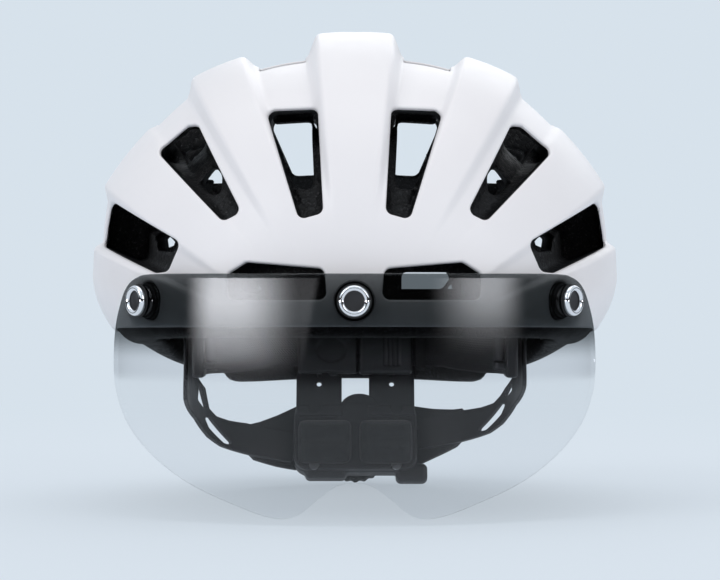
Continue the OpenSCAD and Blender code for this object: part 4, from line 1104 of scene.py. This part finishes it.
def lever_distance(x, y, z):
    """Right cam lever with its pin and a grooved flat."""
    r = np.hypot(x - LEVER_X, y - LEVER_Y)
    z = z - LEVER_Z
    barrel = smax(r - 2.2, np.abs(z) - 10, 0.5)
    pin = smax(r - 1.5, np.abs(z) - 13.3, 0.4)
    flat = box_distance(x, y, z, (57.9, -4, -10), (60.3, 10, 10), 0.8)
    flat = cut(flat, both(np.abs(np.mod(y, 1.6) - 0.8) - 0.35, x - 58.3, 4.2 - y, np.abs(z) - 8))
    return either(smin(barrel, flat, 0.8), pin, barrel)


divider_mesh = voxel_mesh((55.6, -9, -11), (12, 22, 36), 0.4, divider_distance)
lever_mesh = voxel_mesh((56, -7.4, -7.4), (6, 18.4, 29), 0.4, lever_distance)
for side, name in SIDES:
    for piece, mesh, body, node in (
            ("_strap_divider", divider_mesh, "helmet", "_divider"),
            ("_lever_arm", lever_mesh, name + "_lever", "_cam_lever")):
        add_mesh(name + piece, *on_side(side, *mesh), body, "black_plastic", name + node, sharp=40)

BUCKLE_Y = 78
PRONG = [
    (-0.3, 5.5), (-0.3, 8.1), (-7.6, 8.1), (-7.6, 11.4), (-10.6, 11.8), (-13, 9.6), (-15.4, 7.4),
    (-15.4, 5.5)]


def female_distance(x, y, z):
    """Buckle's socket, with side windows and a bar for the webbing."""
    ay, az = np.abs(y - BUCKLE_Y), np.abs(z)
    waist = 11 - 0.9 * smooth(1 - np.abs(x + 12) / 8)
    body = smax(box_distance(x, y - BUCKLE_Y, z, (-25, -4.5, -11), (1, 4.5, 11), 1.8), az - waist, 1.0)
    body = cut(body, both(-19 - x, ay - 2.7, az - 9.2), both(np.abs(x + 11.5) - 4.5, ay - 2.7, 5 - az),
               both(np.abs(x + 23.2) - 2.6, ay - 1.1, az - 7.8))
    dish = np.hypot((x + 10.5) / 6.5, z / 5.5) - 1
    return smax(body, -both(dish * 5, 3.9 - ay), 0.6)


def male_distance(x, y, z):
    """Buckle's plug, with finger grooves and a bar for the webbing."""
    y = y - BUCKLE_Y
    ay, az = np.abs(y), np.abs(z)
    body = box_distance(x, y, z, (1.4, -4.5, -11), (25, 4.5, 11), 1.8)
    grooves = [both(np.abs(x - 13 - 2 * k) - 0.45, 4.1 - ay, az - 7) for k in range(4)]
    body = cut(body, both(np.abs(x - 23.4) - 2.4, ay - 1.1, az - 7.8), *grooves)
    return either(body, box_distance(x, y, z, (-16, -2.3, -1.8), (2.4, 2.3, 1.8), 0.7))


def prong_distance(x, y, z):
    ay = np.abs(y - BUCKLE_Y)
    arm = smax(polygon_distance(PRONG, x, z), ay - 2.3, 0.5)
    return either(arm, smax(np.hypot(x + 0.3, z - 6.8) - 1.5, ay - 2.3, 0.4))


def keeper_distance(x, y, z):
    x, y = x - 28.4, y - BUCKLE_Y - 0.1
    ring = smax(rounded_box(y, z, 2.5, 9.2, 1.6), np.abs(x) - 2.3, 0.7)
    return cut(ring, rounded_box(y, z, 1.3, 7.9, 0.6))


def make_buckle():
    female = voxel_mesh((-26, 73, -12), (28, 10, 24), 0.4, female_distance)
    male = voxel_mesh((-17, 73, -12), (43, 10, 24), 0.4, male_distance)
    v, f = prong = voxel_mesh((-16.4, 75, 4.6), (18, 6, 8), 0.3, prong_distance)
    keeper = voxel_mesh((25.4, 74.8, -10), (6, 6.6, 20), 0.3, keeper_distance)
    for name, mesh, body, slot, node in (
            ("buckle_socket", female, "helmet", "black_plastic", "buckle_female"),
            ("buckle_plug", male, "helmet", "black_plastic", "buckle_male"),
            ("upper_prong_spring", prong, "upper_prong_arm", "black_plastic", "upper_prong"),
            ("lower_prong_spring", (v * [1, 1, -1], f[:, ::-1]), "lower_prong_arm", "black_plastic",
             "lower_prong"),
            ("keeper_ring", keeper, "helmet", "black_rubber", "strap_keeper")):
        add_mesh(name, *mesh, body, slot, node, sharp=40)


make_buckle()


# Pads: crowned cushions with pressed borders and channels, filled out by cloth simulation
PAD_GAP = 0.6


def cavity_point(side, forward, up, t):
    """Point of the head cavity's wall, t inside it, from the three shares of its half axes."""
    return np.stack([(CAV_X - t) * side, (CAV_Y - t) * forward - CAV_SHIFT, (CAV_Z - t) * up], -1)


def cavity_roll(a, phi, t):
    c = cosd(phi) ** (2 / CAV_POWER)
    return cavity_point(
        c * spow(sind(a), 2 / CAV_POWER), spow(sind(phi), 2 / CAV_POWER), c * spow(cosd(a), 2 / CAV_POWER), t)


def cavity_plan(a, up, t):
    c = cosd(up) ** (2 / CAV_POWER)
    return cavity_point(
        c * spow(cosd(a), 2 / CAV_POWER), c * spow(sind(a), 2 / CAV_POWER), spow(sind(up), 2 / CAV_POWER), t)


def bulge(t):
    """Rises from 0 to 1 as a quarter circle."""
    return np.sqrt(np.clip(1 - (1 - np.clip(t, 0, 1)) ** 2, 0, 1))


class Pad:
    """One cushion: surface(u, v, depth) with u and v from 0 to 1, size in mm, and the u and v of its pressed
    channels."""

    def __init__(self, surface, size, thick, channels=(), cross=()):
        nu, nv = (max(10, int(round(s / 1.5))) for s in size)
        u, v = np.meshgrid(np.linspace(0, 1, nu + 1), np.linspace(0, 1, nv + 1), indexing="ij")
        du, dv = np.minimum(u, 1 - u) * size[0], np.minimum(v, 1 - v) * size[1]
        edge = np.minimum(du, dv)
        # The outline is a rectangle with round corners: the grid's corners draw in
        corner = 3.2
        ku, kv = np.maximum(corner - du, 0), np.maximum(corner - dv, 0)
        far = np.maximum(np.hypot(ku, kv), 1e-6)
        draw = 1 - np.maximum(ku, kv) / far
        uu = u + ku * draw * np.sign(0.5 - u) / size[0]
        vv = v + kv * draw * np.sign(0.5 - v) / size[1]
        seam = np.full(u.shape, 1e9)
        for c in channels:
            seam = np.minimum(seam, np.abs(u - c) * size[0])
        for c in cross:
            seam = np.minimum(seam, np.abs(v - c) * size[1])
        level = thick * (0.22 + 0.68 * bulge((edge - 1.2) / 4.2) * (0.35 + 0.65 * bulge((seam - 0.3) / 2.4)))
        front = surface(uu.ravel(), vv.ravel(), PAD_GAP + level.ravel())
        back = surface(uu.ravel(), vv.ravel(), np.full(u.size, PAD_GAP))
        index = np.arange(u.size).reshape(u.shape)
        quads = np.stack([index[:-1, :-1], index[1:, :-1], index[1:, 1:], index[:-1, 1:]], -1).reshape(-1, 4)
        border = np.concatenate([index[:-1, 0], index[-1, :-1], index[:0:-1, -1], index[0, :0:-1]])
        ring = np.roll(border, -1)
        walls = np.stack([border, ring, ring + u.size, border + u.size], -1)
        self.verts = np.concatenate([front, back])
        self.faces = np.concatenate([quads[:, ::-1], quads + u.size, walls])
        self.held = np.ones(2 * u.size)
        self.held[:u.size] = np.clip(1 - np.minimum((edge - 1.4) / 1.2, (seam - 0.5) / 0.8), 0, 1).ravel()
        self.cap = 0.12 * thick + 0.1


def fill_out(pads):
    """Swells the free cloth of all cushions at once and gives them their new points. The simulation runs
    at 20 times their size."""
    scale, frames = 0.02, 20
    verts, faces = joined([(p.verts, p.faces) for p in pads])
    held = np.concatenate([p.held for p in pads])
    caps = np.concatenate([np.full(len(p.verts), p.cap) for p in pads])
    obj = new_object("cloth", new_mesh("cloth", verts * scale, faces))
    group = obj.vertex_groups.new(name="held")
    for i in np.nonzero(held > 0.5)[0]:
        group.add([int(i)], 1.0, "REPLACE")
    cloth = obj.modifiers.new("cloth", "CLOTH")
    cloth.settings.use_pressure = True
    cloth.settings.uniform_pressure_force = 4
    cloth.settings.vertex_group_mass = "held"
    cloth.settings.effector_weights.gravity = 0
    cloth.settings.quality = 5
    cloth.point_cache.frame_start, cloth.point_cache.frame_end = 1, frames
    for frame_number in range(1, frames + 1):
        scene.frame_set(frame_number)
    done = obj.evaluated_get(bpy.context.evaluated_depsgraph_get()).to_mesh()
    move = np.array([v.co for v in done.vertices]) / scale - verts
    bpy.data.objects.remove(obj)
    scene.frame_set(1)
    size = np.maximum(np.linalg.norm(move, axis=1), 1e-9)
    moved = verts + move * np.minimum(1, caps / size)[:, None]
    at = 0
    for p in pads:
        p.verts = moved[at:at + len(p.verts)]
        at += len(p.verts)


def plan_surface(a0, a1, u0, u1):
    return lambda u, v, depth: cavity_plan(a0 + (a1 - a0) * u, u0 + (u1 - u0) * v, depth)


def roll_surface(a0, a1, p0, p1):
    return lambda u, v, depth: cavity_roll(a0 + (a1 - a0) * u, p0 + (p1 - p0) * v, depth)


def nape_surface(side):
    x = side * 13.4 + 11.6
    return lambda u, v, depth: cradle(np.stack([x - 23.2 * u, 58.4 - depth, 20 * v - 13], -1))


def make_pads():
    crown = {"size": (15, 84), "thick": 6, "cross": (0.33, 0.67)}
    pads = {
        "brow_pad": [Pad(plan_surface(-136, -44, 4.5, 13), (152, 18), 7, (0.17, 0.39, 0.61, 0.83))],
        "crown_pad": [Pad(roll_surface(-6.5, 6.5, -34, 30), (23, 112), 7, (), (0.26, 0.5, 0.74))],
        "left_crown_pad": [Pad(roll_surface(-34, -26, -22, 26), **crown)],
        "right_crown_pad": [Pad(roll_surface(26, 34, -22, 26), **crown)],
        "right_side_pad": [Pad(plan_surface(-38, -4, 12, 28), (56, 26), 5, (0.34, 0.67))],
        "nape_pads": [Pad(nape_surface(side), (23.2, 20), 5.6, (), (0.5,)) for side in (-1, 1)]}
    fill_out([p for group in pads.values() for p in group])
    for name, group in pads.items():
        verts, faces = flipped(*joined([(p.verts, p.faces) for p in group]))
        add_pad(name, verts, faces, "cradle" if name == "nape_pads" else "helmet")
        if name == "right_side_pad":
            add_pad("left_side_pad", *on_side(-1, verts, faces), "helmet")


def add_pad(name, verts, faces, body):
    obj = add_mesh(name + "_cushion", verts, faces, body, "pad_fabric", name, sharp=0)
    rounder = obj.modifiers.new("smooth", "SUBSURF")
    rounder.levels = rounder.render_levels = 1


make_pads()


# Floor, backdrop and light
FLOOR_Z = -0.0594
LIT_POINT = (0, 0, 0.05)
# Colour of the background
PALE = (0.68, 0.76, 0.835)


def stage_mesh(name, verts, faces, material):
    mesh = new_mesh(name, verts, faces)
    mesh.shade_smooth()
    obj = new_object(name, mesh)
    mesh.materials.append(material)
    return obj


def make_floor():
    """Round floor that fades into the background, and is open from below."""
    radius, n = 6, 96
    turns = [i * math.tau / n for i in range(n)]
    verts = [(0, 0, FLOOR_Z)] + [(radius * math.cos(t), radius * math.sin(t), FLOOR_Z) for t in turns]
    m = Nodes("floor", (0.70, 0.765, 0.83), 0.9, Specular_IOR_Level=0.1)
    distance = m.add("VectorMath", {0: m.coords}, operation="LENGTH").outputs["Value"]
    share = m.times(m.step(distance, 0.2, 1.0, 0.6, 1.0), m.seen())
    pale = m.add("Emission", {"Color": (*PALE, 1)}).outputs[0]
    below = m.add("NewGeometry").outputs["Backfacing"]
    clear = m.add("BsdfTransparent").outputs[0]
    m.end_in(m.blend(below, m.blend(share, m.shader.outputs[0], pale), clear))
    stage_mesh("floor", verts, [(0, i + 1, (i + 1) % n + 1) for i in range(n)], m.material)


def make_studio_wall():
    """Dark wall of the studio round the front with two soft boxes in it. Only mirrors and gloss see it."""
    radius, high, steps = 1.74, 0.42, 90
    verts, faces = [], []
    for i in range(steps + 1):
        a = math.radians(-138 + 276 * i / steps)
        verts += [(radius * math.sin(a), -radius * math.cos(a), z) for z in (FLOOR_Z, high)]
        if i:
            faces.append((2 * i - 2, 2 * i, 2 * i + 1, 2 * i - 1))
    m = Nodes("studio_wall", PALE, 0.5)
    x, y, z = m.add("SeparateXYZ", {0: m.coords}).outputs
    # Degrees to the side from straight ahead. The left box's inner edge leans with the height
    turn = m.times(m.math("ARCTAN2", x, m.times(y, -1.0)), 57.2958)
    leaning = m.math("SUBTRACT", turn, m.times(z, 85.0))
    fade = m.math("ADD", m.times(m.step(turn, -22.0, -50.0), 0.92), 0.08)
    left = m.times(m.step(turn, -76.5, -60.0), m.step(leaning, -16.8, -19.3), fade, m.step(z, -0.056, 0.022),
                   28.0)
    right = m.times(m.step(turn, 30.0, 56.0), m.step(turn, 78.0, 60.0), m.step(z, -0.035, 0.04), 15.5)
    glow = m.math("ADD", m.times(m.math("ADD", left, right), m.step(z, 0.085, 0.02)), 0.03)
    m.end_in(m.add("Emission", {"Color": (0.94, 0.95, 1, 1), "Strength": glow}).outputs[0])
    m.tree.nodes.remove(m.shader)
    wall = stage_mesh("studio_wall", verts, faces, m.material)
    for kind in ("camera", "diffuse", "shadow", "transmission"):
        setattr(wall, "visible_" + kind, False)


def area_light(name, place, size, size_y, power):
    """Soft light that faces the helmet."""
    data = bpy.data.lights.new(name, "AREA")
    data.shape = "RECTANGLE"
    data.size, data.size_y = size, size_y
    data.energy = power
    obj = new_object(name, data)
    obj.location = place
    obj.rotation_euler = (Vector(LIT_POINT) - Vector(place)).to_track_quat("-Z", "Y").to_euler()


make_floor()
make_studio_wall()
area_light("key", (-1.5, -1.3, 1.6), 1.4, 1.4, 12.5)
area_light("fill", (1.5, -1.6, 0.7), 1.2, 1.6, 8)
area_light("top", (0, 0.3, 2.2), 2.0, 2.0, 8.5)
area_light("back", (0.4, 2.0, 1.2), 1.6, 1.2, 7)


def make_world():
    world = bpy.data.worlds.new("world")
    world.use_nodes = True
    w = Tree(world.node_tree)
    soft = w.tree.nodes["Background"]
    soft.inputs[0].default_value = (0.91, 0.915, 0.94, 1)
    soft.inputs[1].default_value = 0.76
    pale = w.add("Background", {0: (*PALE, 1)}).outputs[0]
    shown = w.blend(w.seen(), soft.outputs[0], pale)
    w.tree.links.new(shown, w.tree.nodes["World Output"].inputs["Surface"])
    scene.world = world


make_world()
